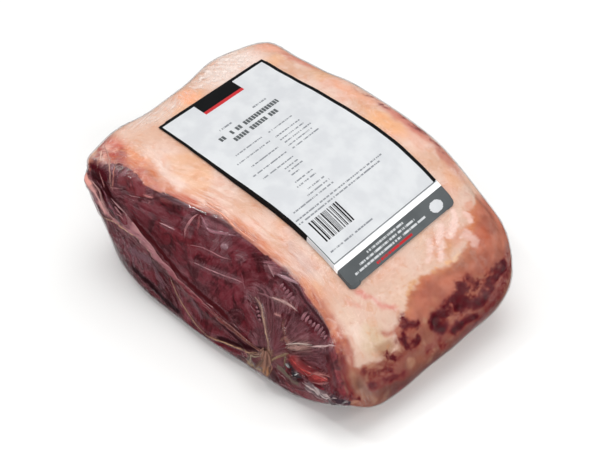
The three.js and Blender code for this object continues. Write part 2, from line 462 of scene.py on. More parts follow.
@dataclass(frozen=True)
class RawBeef:
    """Fresh raw beef under film: moist lean with a cap of firm fat.

    The meat's juice fills it to the film, so only the film shines. The broad colours of fat and
    lean come from the mesh, and streaks and finer grain are laid over them.
    """

    bruise: str = "8e3a36"
    blood: str = "580516"
    clot: str = "30000a"
    vein: str = "92545c"
    dark_fibre: str = "2a040b"
    pale_fat: str = "f0dcd2"
    warm_fat: str = "d28a5c"
    red_fat: str = "bc6454"
    grain_mm: float = 1.8

    def make(self) -> Material:
        """Makes the material.

        Returns:
            The material.
        """
        material, tree, output = new_material("raw_beef_lean_and_fat")
        fat = from_mesh(tree, "fat_tone", "Color")
        lean = from_mesh(tree, "lean_tone", "Color")
        rim = from_mesh(tree, "rim")
        grain = scaled_noise(tree, self.grain_mm, 4.0, 0.4)

        wander = maths(tree, "MULTIPLY_ADD", scaled_noise(tree, 3.6, 5.0, 1.2), 5.0, -2.5)
        is_fat = ramp_between(tree, maths(tree, "ADD", rim, wander), -0.8, 0.8)
        meat = blended(tree, is_fat, self.lean(tree, lean, grain), self.fat(tree, fat, grain))
        meat = self.bled(tree, meat)

        links = {"Base Color": meat, "Roughness": 0.55, "IOR": 1.38, "Specular IOR Level": 0.12}
        shader = add_node(tree, "BsdfPrincipled", links)
        tree.links.new(shader.outputs[0], output.inputs[0])
        return material

    def fat(self, tree: NodeTree, fat: Any, grain: Any) -> Any:
        """Adds the fat's clouds and, near the rim, its pale and warm streaks.

        Args:
            tree: the material's node tree.
            fat: the fat's broad colour as a socket.
            grain: fine noise as a socket.

        Returns:
            The fat's colour as a socket.
        """
        streaky = from_mesh(tree, "streaky")
        thick = from_mesh(tree, "thick")
        deeper = add_node(tree, "Gamma", {0: fat, 1: 1.35}).outputs[0]
        cloud = share_of(tree, scaled_noise(tree, 8.0, 4.0, 0.7), 0.40, 0.68, 0.40)
        fat = blended(tree, cloud, fat, deeper)
        fat = blended(tree, share_of(tree, grain, 0.45, 0.72, 0.22), fat, deeper)
        for size_mm, low, high, colour, strength in (
            (7.5, 0.53, 0.70, self.pale_fat, 0.30), (6.0, 0.47, 0.32, self.warm_fat, 0.30),
            (4.0, 0.57, 0.72, self.red_fat, 0.16),
        ):
            share = share_of(tree, scaled_noise(tree, size_mm, 4.0, 0.8), low, high, strength)
            fat = blended(tree, maths(tree, "MULTIPLY", share, thick), fat, linear(colour))
        wide = scaled_noise(tree, (34.0, 4.2, 1.0), 4.0, 0.9, True)
        thin = scaled_noise(tree, (20.0, 1.8, 1.0), 4.0, 1.0, True)
        for noise_value, low, high, colour, strength in (
            (wide, 0.52, 0.68, self.pale_fat, 0.45), (wide, 0.48, 0.34, self.warm_fat, 0.60),
            (thin, 0.56, 0.70, self.pale_fat, 0.28), (thin, 0.44, 0.34, self.red_fat, 0.40),
        ):
            share = share_of(tree, noise_value, low, high, strength)
            fat = blended(tree, maths(tree, "MULTIPLY", share, streaky, clamp=True), fat, linear(colour))
        return fat

    def lean(self, tree: NodeTree, lean: Any, grain: Any) -> Any:
        """Adds the lean's fibres, which run with the drawn film.

        Args:
            tree: the material's node tree.
            lean: the lean's broad colour as a socket.
            grain: fine noise as a socket.

        Returns:
            The lean's colour as a socket.
        """
        broad = scaled_noise(tree, 11.0, 5.0, 1.0)
        bands = scaled_noise(tree, (30.0, 6.5, 1.0), 4.0, 0.9, True)
        drawn = scaled_noise(tree, (15.0, 1.7, 1.0), 4.0, 1.0, True)
        specks = scaled_noise(tree, 2.6, 4.0, 1.6)
        dark, vein = linear(self.dark_fibre), linear(self.vein)
        for noise_value, low, high, colour, strength in (
            (broad, 0.55, 0.38, dark, 0.82), (bands, 0.50, 0.36, dark, 0.36),
            (specks, 0.48, 0.33, dark, 0.40), (drawn, 0.46, 0.34, dark, 0.45),
            (broad, 0.53, 0.68, vein, 0.40), (bands, 0.53, 0.68, vein, 0.22),
            (specks, 0.57, 0.72, vein, 0.30), (drawn, 0.57, 0.74, vein, 0.24),
            (grain, 0.50, 0.70, vein, 0.12),
        ):
            lean = blended(tree, share_of(tree, noise_value, low, high, strength), lean, colour)
        return lean

    def bled(self, tree: NodeTree, meat: Any) -> Any:
        """Adds the lean that shows through the fat, from a bruised halo to dark clots.

        Args:
            tree: the material's node tree.
            meat: the colour of fat and lean as a socket.

        Returns:
            The meat's colour as a socket.
        """
        blood = from_mesh(tree, "blood")
        broad = maths(tree, "MULTIPLY_ADD", scaled_noise(tree, 5.0, 4.0, 1.2), 1.0, -0.48)
        broken = maths(tree, "MULTIPLY_ADD", scaled_noise(tree, 2.2, 4.0, 1.0), 0.7, -0.33)
        near = ramp_between(tree, blood, 0.0, 0.25)
        spread = maths(tree, "MULTIPLY", maths(tree, "ADD", broad, broken), near)
        bloody = maths(tree, "ADD", blood, spread)
        for low, high, colour, strength in (
            (-0.06, 0.48, self.bruise, 0.78), (0.18, 0.76, self.blood, 0.97), (0.75, 1.40, self.clot, 0.75),
        ):
            meat = blended(tree, share_of(tree, bloody, low, high, strength), meat, linear(colour))
        return meat


@dataclass(frozen=True)
class ShrinkFilm:
    """Clear multilayer shrink film, blown, then shrunk in hot water.

    It shows what lies under it, mirrors the lamps sharply on every fold, and turns milky where
    it is bunched. The mesh says how milky through its number "milk", and in what colour through
    "milk_and_painted_light_tone", because the bunched film takes up fat and juice. That colour also carries
    painted
    light: painted shade in hollows and creases, painted sheen, painted glints and a painted dark reflection.
    """

    name: str = "clear_shrink_film"
    roughness: float = 0.06
    ripple_mm: float = 2.6
    ripple: float = 0.20
    ior: float = 1.28
    sheen: float = 0.12
    most_mirror: float = 0.45

    def make(self) -> Material:
        """Makes the material.

        Returns:
            The material.
        """
        material, tree, output = new_material(self.name)
        milk = from_mesh(tree, "milk")
        tone = from_mesh(tree, "milk_and_painted_light_tone", "Color")
        ripples = scaled_noise(tree, (self.ripple_mm * 2.2, self.ripple_mm * 2.2, self.ripple_mm), 2.0, 0.5)
        creases = scaled_noise(tree, (14.0, self.ripple_mm * 0.5, 1.0), 3.0, 0.4, True)
        relief = maths(tree, "ADD", ripples, creases)
        bump = add_node(tree, "Bump", {"Strength": self.ripple, "Distance": 0.001, "Height": relief})
        mirror = add_node(tree, "Fresnel", {"IOR": self.ior, "Normal": bump.outputs[0]}).outputs[0]
        mirror = maths(tree, "MINIMUM", mirror, self.most_mirror)
        clear = add_node(tree, "BsdfTransparent", {"Color": (0.985, 0.975, 0.975, 1)}).outputs[0]
        links = {"Color": (1, 1, 1, 1), "Roughness": self.roughness, "Normal": bump.outputs[0]}
        gloss = add_node(tree, "BsdfGlossy", links).outputs[0]
        tight = add_node(tree, "MixShader", {0: mirror, 1: clear, 2: gloss}).outputs[0]
        links = {"Base Color": tone, "Roughness": 0.3, "Specular IOR Level": self.sheen,
                 "Normal": bump.outputs[0]}
        bunched = add_node(tree, "BsdfPrincipled", links).outputs[0]
        patchy = scaled_noise(tree, (12.0, 1.3, 1.0), 4.0, 0.8, True)
        patchy = maths(tree, "MULTIPLY_ADD", ramp_between(tree, patchy, 0.32, 0.68), 2.6, -1.3)
        half_milky = maths(tree, "MULTIPLY", milk, maths(tree, "SUBTRACT", 1.0, milk))
        share = maths(tree, "MULTIPLY_ADD", patchy, half_milky, milk, clamp=True)
        film = add_node(tree, "MixShader", {0: share, 1: tight, 2: bunched}).outputs[0]
        tree.links.new(film, output.inputs[0])
        return material


@dataclass(frozen=True)
class PlainFinish:
    """A plain coat of ink, paper or paint: one colour with a faint cloud of another."""

    name: str
    colour: str
    clouded: str
    roughness: float
    cloud_mm: float = 18.0
    sheen: float = 0.2

    def make(self) -> Material:
        """Makes the material.

        Returns:
            The material.
        """
        material, tree, output = new_material(self.name)
        cloud = ramp_between(tree, scaled_noise(tree, self.cloud_mm, 3.0), 0.35, 0.65)
        colour = blended(tree, cloud, linear(self.colour), linear(self.clouded))
        links = {"Base Color": colour, "Roughness": self.roughness, "Specular IOR Level": self.sheen}
        shader = add_node(tree, "BsdfPrincipled", links)
        tree.links.new(shader.outputs[0], output.inputs[0])
        return material


# ---------------------------------------------------------------- the pack's form


@dataclass
class PackForm:
    """The closed form of the sealed pack, taken from its CAD node.

    Args:
        node: the CAD node's object.
    """

    node: Piece
    weld: float = 0.01
    tree: BVHTree = field(init=False)
    low: Array = field(init=False)
    high: Array = field(init=False)

    def __post_init__(self) -> None:
        """Keeps a search tree of the form, so that paths can be laid on it, and its box in mm."""
        self.tree = BVHTree.FromObject(self.node, bpy.context.evaluated_depsgraph_get())
        self.low, self.high = (np.array(corner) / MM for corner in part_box(self.node.name))

    def copy(self, name: str, levels: int) -> Piece:
        """Copies the form as a welded mesh of quads.

        Args:
            name: the new piece's name.
            levels: how often its faces are halved and rounded off.

        Returns:
            The new object.
        """
        piece = bpy.data.objects.new(name, self.node.data.copy())
        bpy.context.scene.collection.objects.link(piece)
        piece.data.name = name
        piece.data.materials.clear()
        with edit_mode(piece):
            bpy.ops.mesh.remove_doubles(threshold=self.weld * MM)
            bpy.ops.mesh.tris_convert_to_quads()
            bpy.ops.mesh.faces_shade_smooth()
        subdivide(piece, levels)
        return piece

    def top(self, x: float, y: float) -> float:
        """Height of the form above a place, all in mm."""
        return height_under(self.tree, x * MM, y * MM)

    def lay(self, path: Array) -> tuple[Array, Array]:
        """Lays points on the form.

        Args:
            path: points in mm near the form, one a row.

        Returns:
            The nearest points on the form in mm, and the form's normals there.
        """
        found = [self.tree.find_nearest(Vector(p * MM)) for p in path]
        return np.array([f[0] for f in found]) / MM, np.array([f[1] for f in found])


# ---------------------------------------------------------------- the meat


@dataclass(frozen=True)
class Patch:
    """A patch of one colour on the meat: middle and reach in mm, and how strong it is."""

    at: Point
    reach: Point
    colour: str
    strength: float = 1.0

    def share(self, points: Array) -> Array:
        """How much of the patch lies at each place, from 0 to its strength."""
        away = np.linalg.norm((points - self.at) / self.reach, axis=1)
        return self.strength * (1 - smooth(0.35, 1.0, away))


@dataclass(frozen=True)
class Streak:
    """A streak along a path on the meat or the film: half its width in mm and how strong it is.

    A streak of blood has no colour of its own, because the meat's finish gives it.
    """

    path: Path
    half_width: float
    strength: float
    colour: str = ""
    crisp: bool = False

    def share(self, points: Array) -> Array:
        """Measures how much of the streak lies at each place.

        Args:
            points: places in mm, one a row.

        Returns:
            Shares from 0 to the streak's strength, and never more than 1.
        """
        distance, along = path_distance(points, self.path)
        ends = smooth(0, 0.12, along) * smooth(1, 0.88, along)
        share = (0.3 + 0.7 * ends) * np.exp(-((distance / self.half_width) ** 2))
        if self.crisp:
            share = smooth(0.25, 0.55, share)
        return np.minimum(1, self.strength * share)


# The line on the cut side where the fat cap meets the lean: it falls to the foot at the end,
# because there the fat wraps round. On the far side it is given by its height along X.
RIM = ((-138, -20, 80), (-132, -55, 77), (-122, -76, 75), (-112, -85, 78), (-104, -83, 86),
       (-100, -78, 89), (-95, -74, 90), (-87, -72, 90), (-78, -72, 90), (-67, -75, 88), (-59, -72, 87),
       (-45, -67, 86), (-33, -65, 86), (-12, -60, 86), (10, -61, 84), (29, -61, 82), (41, -60, 80),
       (54, -60, 77), (62, -59, 75), (72, -61, 71), (81, -62, 66), (90, -64, 61), (100, -68, 56),
       (108, -72, 51), (116, -76, 45), (123, -79, 36), (126, -79, 26), (127, -78, 6))
FAR_RIM = ((-140, 80), (-60, 84), (30, 86), (70, 74), (95, 48), (116, 6))

# The torn edge on the end, below which the fat is thin and tan because the lean shines through.
TORN_EDGE = ((70, 96, 60), (86, 88, 80), (93, 71, 79), (95, 62, 77), (103, 56, 71), (108, 49, 67),
             (110, 40, 65), (109, 29, 64), (106, 17, 64), (103, 9, 66), (105, 3, 64), (106, -3, 63),
             (109, -8, 61), (111, -12, 59), (114, -16, 56), (115, -20, 54), (115, -27, 52), (119, -30, 47),
             (123, -30, 41), (123, -36, 39), (121, -44, 40), (119, -54, 42), (118, -63, 43),
             (115, -67, 47), (110, -68, 51), (106, -73, 51))

# Where the film's folds run together on the cut side: the dog ear at the back and the knot at the foot.
EAR = (-112.0, -86.0, 74.0)
KNOT = (60.0, -87.0, 28.0)
RIM_LENGTH = 420.0  # mm along the rim, over which its streaks are laid out


def above_rim(points: Array, normals: Array) -> Array:
    """Measures how far places lie above the line where fat meets lean.

    Args:
        points: places in mm, one a row.
        normals: the surface's normals there.

    Returns:
        The distances in mm, less than 0 below the line.
    """
    near = path_side(points, normals, RIM)
    far = points[:, 2] - np.interp(points[:, 0], *zip(*FAR_RIM))
    return np.where(points[:, 1] < 0, near, far)


def drawn_lines(points: Array, height: Array) -> Array:
    """Coordinates that run with the streaks of the meat and the film.

    On the lean they fan out from the dog ear and from the knot. On the fat they follow its rim,
    and far from it and on the end they are drawn out so little that no streaks show.

    Args:
        points: places in mm.
        height: how far each place lies above the line where fat meets lean.

    Returns:
        For each place how far it lies along the streaks, how far across them, and 0, in mm.
    """
    fans = []
    for at, spread in ((EAR, 42.0), (KNOT, 26.0)):
        away = points - np.array(at)
        distance = np.hypot(away[:, 0], away[:, 2])
        fans.append(np.stack([distance, spread * np.arctan2(away[:, 0], away[:, 2])], axis=1))
    by_knot = smooth(85, 35, fans[1][:, 0])[:, None]
    lean = fans[0] + (fans[1] - fans[0]) * by_knot
    distance, along = path_distance(points, RIM)
    rim = np.stack([along * RIM_LENGTH, distance], axis=1)
    end = smooth(86, 108, points[:, 0])[:, None]
    level = (points[:, :2] + (points[:, 1:] - points[:, :2]) * end) * (2.4, 0.26)
    near = (smooth(50, 20, height) * (points[:, 1] < 0))[:, None]
    fat = level + (rim - level) * near
    drawn = np.where(height[:, None] > 0, fat, lean)
    return np.hstack([drawn, np.zeros((len(points), 1))])


FAT_PATCHES = tuple(Patch(*row) for row in (
    ((-111, -66, 91), (17, 15, 13), "d58a76"),
    ((-98, -71, 91), (10, 7, 7), "b84c3a", 0.9),
    ((-111, 4, 96), (14, 10, 11), "f0b088", 0.8),
    ((-110, 46, 98), (22, 38, 14), "ebded6", 0.9),
    ((-114, -24, 95), (13, 26, 12), "ddc4b4", 0.8),
    ((-112, 84, 97), (18, 12, 14), "e8ae96", 0.9),
    ((-84, 86, 98), (24, 8, 12), "d4846c", 0.8),
    ((-30, 80, 104), (34, 8, 9), "e9ae8e", 0.7),
    ((16, 72, 105), (30, 9, 10), "ecb688", 0.8),
    ((22, 84, 101), (34, 7, 12), "cd7868", 0.8),
    ((62, 84, 94), (26, 9, 14), "c47c6a", 0.8),
    ((112, -46, 51), (15, 15, 13), "d8c0a4", 0.95),
    ((119, -40, 44), (9, 11, 7), "b48e6e", 0.9),
    ((97, -50, 60), (14, 9, 10), "e0c4b0", 0.8),
    ((100, 38, 72), (13, 24, 9), "d79c82", 0.75),
    ((92, -8, 74), (14, 20, 9), "e2b8a4", 0.6),
    ((124, -65, 31), (6, 5, 6), "cfa68c", 0.9),
))


@dataclass
class BeefJoint:
    """The meat in the bag: lean with its cap of fat, as one mesh.

    Args:
        form: the pack's form, which the meat fills.
    """

    form: PackForm
    inset: float = 0.7
    rest_lift: float = 0.35
    finish: RawBeef = RawBeef()
    piece: Piece = field(init=False)

    def build(self) -> None:
        """Shapes the meat just inside the film."""
        self.piece = self.form.copy("meat", 2)
        places = places_of(self.piece)
        inner = places - self.inset * normals_of(self.piece)
        inner[:, 2] = np.maximum(inner[:, 2], self.rest_lift)
        move_to(self.piece, inner)

    def dress(self) -> None:
        """Paints the fat and the lean, and gives the piece its material."""
        points = places_of(self.piece)
        warp = np.stack([noise_at(points, 11, seed) for seed in (3.1, 17.7, 41.3)], axis=1)
        fine = np.stack([noise_at(points, 4.0, seed) for seed in (5.3, 23.7)], axis=1)
        warped = points + 3.0 * warp + 1.3 * fine[:, [0, 1, 1]]
        normals = normals_of(self.piece)
        height = above_rim(points, normals)
        thin = path_side(points, normals, TORN_EDGE) + 2.2 * warp[:, 1] + 2.2 * fine[:, 0]
        set_places(self.piece, "drawn", drawn_lines(points, height))
        height += 1.2 * warp[:, 0]
        set_numbers(self.piece, "rim", height)
        set_numbers(self.piece, "streaky", self.streaky_at(points, height))
        set_numbers(self.piece, "thick", 1 - smooth(-3, 0, thin) * smooth(80, 92, points[:, 0]))
        set_colours(self.piece, "fat_tone", self.fat_tones(points, warped, height, thin))
        set_colours(self.piece, "lean_tone", self.lean_tones(points, warped))
        set_numbers(self.piece, "blood", self.blood_at(warped))
        self.piece.data.materials.append(self.finish.make())

    def fat_tones(self, points: Array, warped: Array, height: Array,
                  thin: Array) -> Array:
        """Colours of the fat cap.

        Args:
            points: places in mm.
            warped: the same places, pulled about so that patches get uneven edges.
            height: how far each place lies above the line where fat meets lean.
            thin: how far each place lies below the torn edge of the thick fat.

        Returns:
            One linear colour for each place, with painted light laid in: a highlight on the pale ridge
            by the rim, a sheen beside the label, and sheen and glints on the end.
        """
        tones = tinted(linear_row("dab49c"), "e4c9ba", smooth(-0.35, 0.35, noise_at(points, 26, 5.0)))
        tones = tinted(tones, "e2b19c", 0.6 * smooth(0.05, 0.5, noise_at(points, 17, 9.0)))
        tones = tinted(tones, "e8b88e", 0.55 * smooth(0.05, 0.45, noise_at(points, 19, 27.0)))
        tones = tinted(tones, "dfc6b6", 0.7 * smooth(70, 92, points[:, 0]))
        front = smooth(-30, -55, points[:, 1])
        orange = front * np.exp(-(((height - 3.5) / 4.5) ** 2))
        orange *= 0.95 + 0.8 * noise_at(points, 14, 2.0)
        tones = tinted(tones, "cc7c56", orange)
        edge = front * smooth(3.0, 0.5, height)
        tones = tinted(tones, "a85048", 0.8 * edge)
        tan = tinted(linear_row("c47c64"), "ae6a56", smooth(-0.3, 0.3, noise_at(points, 9, 33.0)))
        tan = tinted(tan, "885444", 0.8 * smooth(50, 34, points[:, 2]))
        spots = smooth(0.05, 0.45, noise_at(points, 6, 51.0)) * smooth(56, 46, points[:, 2])
        tan = tinted(tan, "bc9074", 0.7 * spots)
        pale = np.exp(-((thin / 4.0) ** 2)) * smooth(44, 56, points[:, 2])
        tan = tinted(tan, "cf8e66", 0.75 * pale)
        torn = smooth(-0.6, 2.0, thin) * smooth(80, 92, points[:, 0])
        tones = mixed_rows(tones, tan, torn[:, None])
        for patch in FAT_PATCHES:
            tones = tinted(tones, patch.colour, patch.share(warped))
        for streak in FAT_STREAKS:
            tones = tinted(tones, streak.colour, streak.share(warped))
        return tones

    def lean_tones(self, points: Array, warped: Array) -> Array:
        """Colours of the lean.

        Args:
            points: places in mm.
            warped: the same places, pulled about so that streaks get uneven edges.

        Returns:
            One linear colour for each place, with painted shadow under the rim and above the seam
            flap, and a painted dark reflection under the pocket at the foot.
        """
        tones = tinted(linear_row("600d1c"), "762834", smooth(-0.3, 0.4, noise_at(points, 22, 12.0)))
        for streak in LEAN_STREAKS:
            tones = tinted(tones, streak.colour, streak.share(warped))
        return tones

    def streaky_at(self, points: Array, height: Array) -> Array:
        """How streaky the fat is: most along the rim of the cut side.

        Args:
            points: places in mm.
            height: how far each place lies above the line where fat meets lean.

        Returns:
            Shares from 0 to 1.
        """
        front = smooth(-22, -52, points[:, 1]) * smooth(34, 8, height)
        front *= smooth(-112, -92, points[:, 0]) * smooth(92, 56, points[:, 0])
        return np.clip(front * (0.55 + 0.6 * noise_at(points, 24, 15.0)) + 0.06, 0, 1)

    def blood_at(self, warped: Array) -> Array:
        """How much lean shows through the fat.

        Args:
            warped: places in mm, pulled about so that the blood gets uneven edges.

        Returns:
            Shares from 0, more than 1 where clots lie.
        """
        total = np.zeros(len(warped))
        for streak in BLOOD_STREAKS:
            total = np.maximum(total, streak.share(warped))
        return total * np.clip(0.85 + 0.8 * noise_at(warped, 6, 21.0), 0, 1.2)


def linear_row(hex_code: str) -> Array:
    """An sRGB hex colour as one row of linear red, green and blue."""
    return np.array([linear(hex_code)[:3]])


def mixed_rows(first: Array, second: Array, share: Array) -> Array:
    """Mixes two rows or lists of colours by a share from 0, the first, to 1, the second."""
    return first + (second - first) * np.clip(share, 0, 1)


def tinted(tones: Array, hex_code: str, share: Array) -> Array:
    """Lays one sRGB hex colour over rows of colours, by a share from 0 to 1 for each row."""
    return mixed_rows(tones, linear_row(hex_code), share[:, None])


FAT_STREAKS = tuple(Streak(*row) for row in (
    # the pale ridge, a painted highlight along the rounded edge of the fat, and the warm bands along the cut
    # side
    (((-84, -54, 92), (-75, -56, 91), (-66, -58, 90), (-55, -59, 89), (-45, -59, 88)), 4.2, 0.9, "ead6cb"),
    (((14, -58, 86), (25, -57, 84), (40, -56, 82)), 2.6, 0.6, "dea68e"),
    (((-45, -59, 88), (-34, -59, 87), (-23, -58, 87), (-8, -54, 87)), 2.2, 0.85, "f0d8ca"),
    (((-104, -63, 91), (-97, -62, 91), (-86, -62, 91), (-79, -61, 90)), 4.4, 0.9, "e49a6c"),
    (((-79, -62, 90), (-71, -63, 90), (-59, -64, 89), (-51, -65, 87)), 3.0, 0.95, "c4744c"),
    (((-52, -66, 87), (-44, -65, 86), (-35, -64, 86), (-27, -63, 86), (-18, -61, 86)), 2.4, 0.9, "bc5a44"),
    (((-17, -60, 87), (0, -61, 85), (14, -61, 82), (23, -61, 81)), 2.2, 0.8, "b4705e"),
    (((-85, -70, 90), (-76, -70, 89), (-67, -71, 88), (-59, -70, 87), (-52, -68, 87)), 2.8, 0.9, "bf7468"),
    (((-101, -73, 90), (-94, -72, 90), (-88, -71, 90)), 2.8, 0.85, "a45c56"),
    (((-114, -84, 79), (-108, -84, 83), (-104, -81, 88), (-99, -77, 90)), 3.4, 0.85, "a85450"),
    (((-126, -56, 86), (-122, -65, 87), (-115, -74, 89), (-111, -81, 89), (-110, -85, 85)),
     3.2, 0.95, "963e40"),
    (((-118, -66, 90), (-111, -72, 90), (-106, -78, 89)), 2.2, 0.8, "eebfb2"),
    (((-120, -72, 87), (-113, -73, 90), (-108, -70, 91), (-101, -71, 91)), 1.6, 0.9, "ac342e"),
    (((-113, -78, 88), (-107, -76, 90), (-101, -74, 91)), 1.7, 0.85, "a02c2c"),
    (((-121, -60, 89), (-114, -64, 91), (-109, -66, 91)), 1.5, 0.8, "b8463c"),
    (((-116, -70, 90), (-112, -66, 91)), 2.4, 0.8, "f0cabc"),
    (((-119, -65, 89), (-112, -62, 91), (-104, -63, 91), (-99, -66, 91), (-90, -66, 91)),
     1.9, 0.8, "c85c4a"),
    (((-106, -65, 91), (-100, -67, 91), (-94, -69, 91)), 3.6, 1.0, "962416"),
    (((-93, -68, 90), (-87, -66, 90), (-82, -61, 91)), 1.8, 0.8, "cc7254"),
    (((-79, -67, 90), (-75, -66, 90), (-69, -67, 89), (-62, -68, 88)), 1.7, 0.7, "9a5040"),
    # the end: an ochre edge, tan islands between the dark bands, and brown towards the foot
    (((109, 23, 64), (106, 14, 65), (103, 8, 66), (105, 1, 64), (106, -4, 63), (110, -10, 60)),
     2.0, 0.8, "d8a678", True),
    (((95, 62, 77), (99, 66, 75), (101, 59, 73), (102, 54, 71)), 3.2, 0.8, "cc8258"),
    (((98, 36, 73), (103, 39, 70), (106, 34, 67)), 3.0, 0.75, "d09c70"),
    (((112, 4, 60), (116, 2, 56)), 5.0, 0.8, "a85844"),
    (((132, 62, 34), (134, 44, 26), (135, 16, 18), (134, -10, 14), (132, -35, 16), (128, -58, 20)),
     9.0, 1.0, "5c3234"),
    (((122, 28, 48), (125, 35, 46), (127, 42, 42)), 3.4, 0.9, "bc8468"),
    (((126, 11, 38), (127, 20, 39), (128, 27, 38)), 3.4, 0.9, "b27a60"),
    (((118, -71, 45), (121, -69, 39), (124, -66, 31), (128, -61, 27)), 3.6, 0.9, "b07e64"),
    (((118, 84, 54), (125, 74, 47), (129, 68, 42), (132, 58, 37), (133, 47, 33)), 4.0, 0.85, "8a6864"),
    # pale strips under the wrinkled film on the end: painted sheen, the reflection of the lamp at the
    # right back, with two painted ochre glints
    (((90, 46, 78), (96, 37, 74), (101, 33, 70), (106, 25, 66)), 2.6, 0.95, "eed2c8", True),
    (((86, 58, 82), (92, 54, 78), (96, 48, 75), (100, 41, 71)), 2.4, 0.95, "efd3c9", True),
    (((88, 24, 78), (94, 17, 75), (99, 9, 71)), 2.0, 0.85, "eed2c8", True),
    (((97, 30, 73), (102, 22, 70), (103, 12, 68)), 1.5, 0.85, "f0d6cc", True),
    (((94, 52, 77), (99, 50, 74), (104, 50, 71)), 1.5, 0.85, "f0d6cc", True),
    (((101, 52, 73), (105, 56, 70), (110, 58, 67), (110, 52, 66)), 2.6, 0.9, "e4beb2", True),
    (((91, 32, 76), (96, 25, 73), (100, 16, 69)), 2.6, 0.8, "ecd0c6", True),
    (((104, 46, 70), (107, 44, 68), (110, 40, 65), (110, 34, 64)), 1.3, 0.9, "f0cfae", True),
    (((108, 34, 65), (108, 27, 65), (106, 20, 65)), 1.4, 0.85, "e8b98c", True),
    (((92, 63, 79), (97, 64, 76), (99, 60, 74)), 2.2, 0.8, "eed0c6", True),
    # the fat's own orange and tan beside them
    (((88, 70, 80), (93, 68, 78)), 2.4, 0.7, "d48a6c"),
    (((104, 66, 70), (109, 66, 67), (113, 60, 63)), 4.0, 0.7, "ba6446"),
    (((111, 52, 65), (114, 44, 61), (114, 34, 60)), 4.0, 0.7, "a46a54"),
    # brown at the foot, and a warm spot above the bands
    (((120, -70, 40), (127, -62, 27), (131, -46, 24), (133, -26, 22)), 4.6, 0.75, "6c423c"),
    (((133, 8, 26), (134, 26, 26), (133, 42, 28)), 4.0, 0.8, "7c4640"),
    (((121, -16, 52), (121, -4, 51), (120, 8, 53)), 3.4, 0.7, "a45c48"),
    # the near part, from the greyish strip beside the label, a painted sheen of the film, to the red edge
    # down to the foot
    (((34, -46, 86), (44, -48, 83), (55, -48, 80), (64, -49, 77)), 5.0, 0.75, "ceb3ab"),
    (((70, -58, 72), (77, -58, 69), (87, -61, 63), (95, -64, 59)), 2.4, 0.85, "b4705c"),
    (((88, -58, 64), (98, -60, 59), (106, -64, 55), (113, -67, 50)), 2.4, 0.85, "b4685a"),
    (((92, -64, 61), (103, -68, 56), (110, -71, 51)), 2.6, 0.95, "8c3836"),
    (((107, -71, 53), (116, -74, 46), (121, -77, 39), (126, -77, 31)), 3.0, 1.0, "581820"),
    (((85, -35, 69), (90, -31, 68), (96, -29, 65), (102, -28, 62), (108, -23, 60), (111, -20, 58)),
     1.9, 0.85, "d88a80"),
    (((85, -43, 67), (90, -41, 65), (96, -37, 63)), 2.4, 0.7, "dea090"),
    (((98, -50, 60), (107, -53, 56), (112, -53, 51)), 5.5, 0.8, "ead6ca"),
    (((112, -38, 54), (116, -31, 50), (118, -23, 50)), 2.0, 0.85, "b46c5c"),
    (((102, -62, 57), (108, -63, 54), (115, -65, 49), (118, -67, 45)), 2.2, 0.85, "a4584a"),
    (((104, -57, 57), (111, -58, 53), (116, -58, 48)), 2.0, 0.7, "cc8c74"),
    (((106, -69, 54), (113, -71, 50), (118, -73, 44), (122, -75, 36), (127, -74, 29)), 2.4, 0.9, "7c2428"),
))

LEAN_STREAKS = tuple(Streak(*row) for row in (
    (((66, -74, 52), (80, -74, 47), (95, -74, 42)), 11.0, 0.6, "4c0a16"),
    (((30, -73, 62), (44, -72, 58), (52, -76, 46)), 8.0, 0.5, "52101c"),
    (((-94, -80, 86), (-80, -79, 83), (-68, -77, 82), (-56, -77, 80)), 6.5, 0.7, "8c3a3e"),
    (((-52, -79, 63), (-36, -77, 62), (-18, -76, 62)), 6.0, 0.6, "802c34"),
    (((-92, -87, 42), (-80, -88, 36), (-68, -89, 29), (-52, -90, 20)), 6.0, 0.6, "7c3440"),
    (((94, -69, 56), (103, -73, 53), (110, -76, 48), (118, -79, 42), (123, -81, 34)), 3.2, 0.85, "9a3c42"),
    # painted shadow of the seam flap: a dark line on the lean just above its lifted upper edge
    (((-97, -84, 73), (-84, -84, 66), (-68, -82, 59), (-46, -82, 50), (-11, -83, 41), (27, -84, 34),
      (55, -86, 32)), 3.0, 0.95, "42040c"),
    (((13, -91, 12), (34, -89, 12), (55, -89, 19)), 4.5, 0.85, "5e0c18"),
    (((-80, -73, 86), (-56, -72, 84), (-33, -67, 83)), 2.4, 0.6, "8c5450"),
    (((74, -81, 31), (87, -80, 29), (97, -79, 31), (108, -79, 37)), 4.2, 0.95, "a8382c"),
    # painted shadow under the rim, where the lean tucks under the fat
    (((24, -64, 80), (54, -63, 73), (81, -65, 61), (108, -74, 45), (120, -80, 32)), 2.2, 0.85, "2c060e"),
    # painted dark reflection of the empty film pocket, laid on the meat under it
    (((74, -84, 24), (87, -84, 22), (97, -82, 24)), 3.5, 0.9, "2a1a1e"),
    (((-85, -87, 19), (-61, -91, 9), (-35, -91, 8), (-14, -92, 10)), 6.0, 0.8, "1c060b"),
    (((41, -88, 9), (49, -89, 11), (59, -90, 16)), 4.0, 0.85, "7a5c40"),
    (((68, -90, 10), (90, -88, 12), (112, -84, 18), (124, -78, 22)), 5.0, 0.8, "5a1c28"),
))

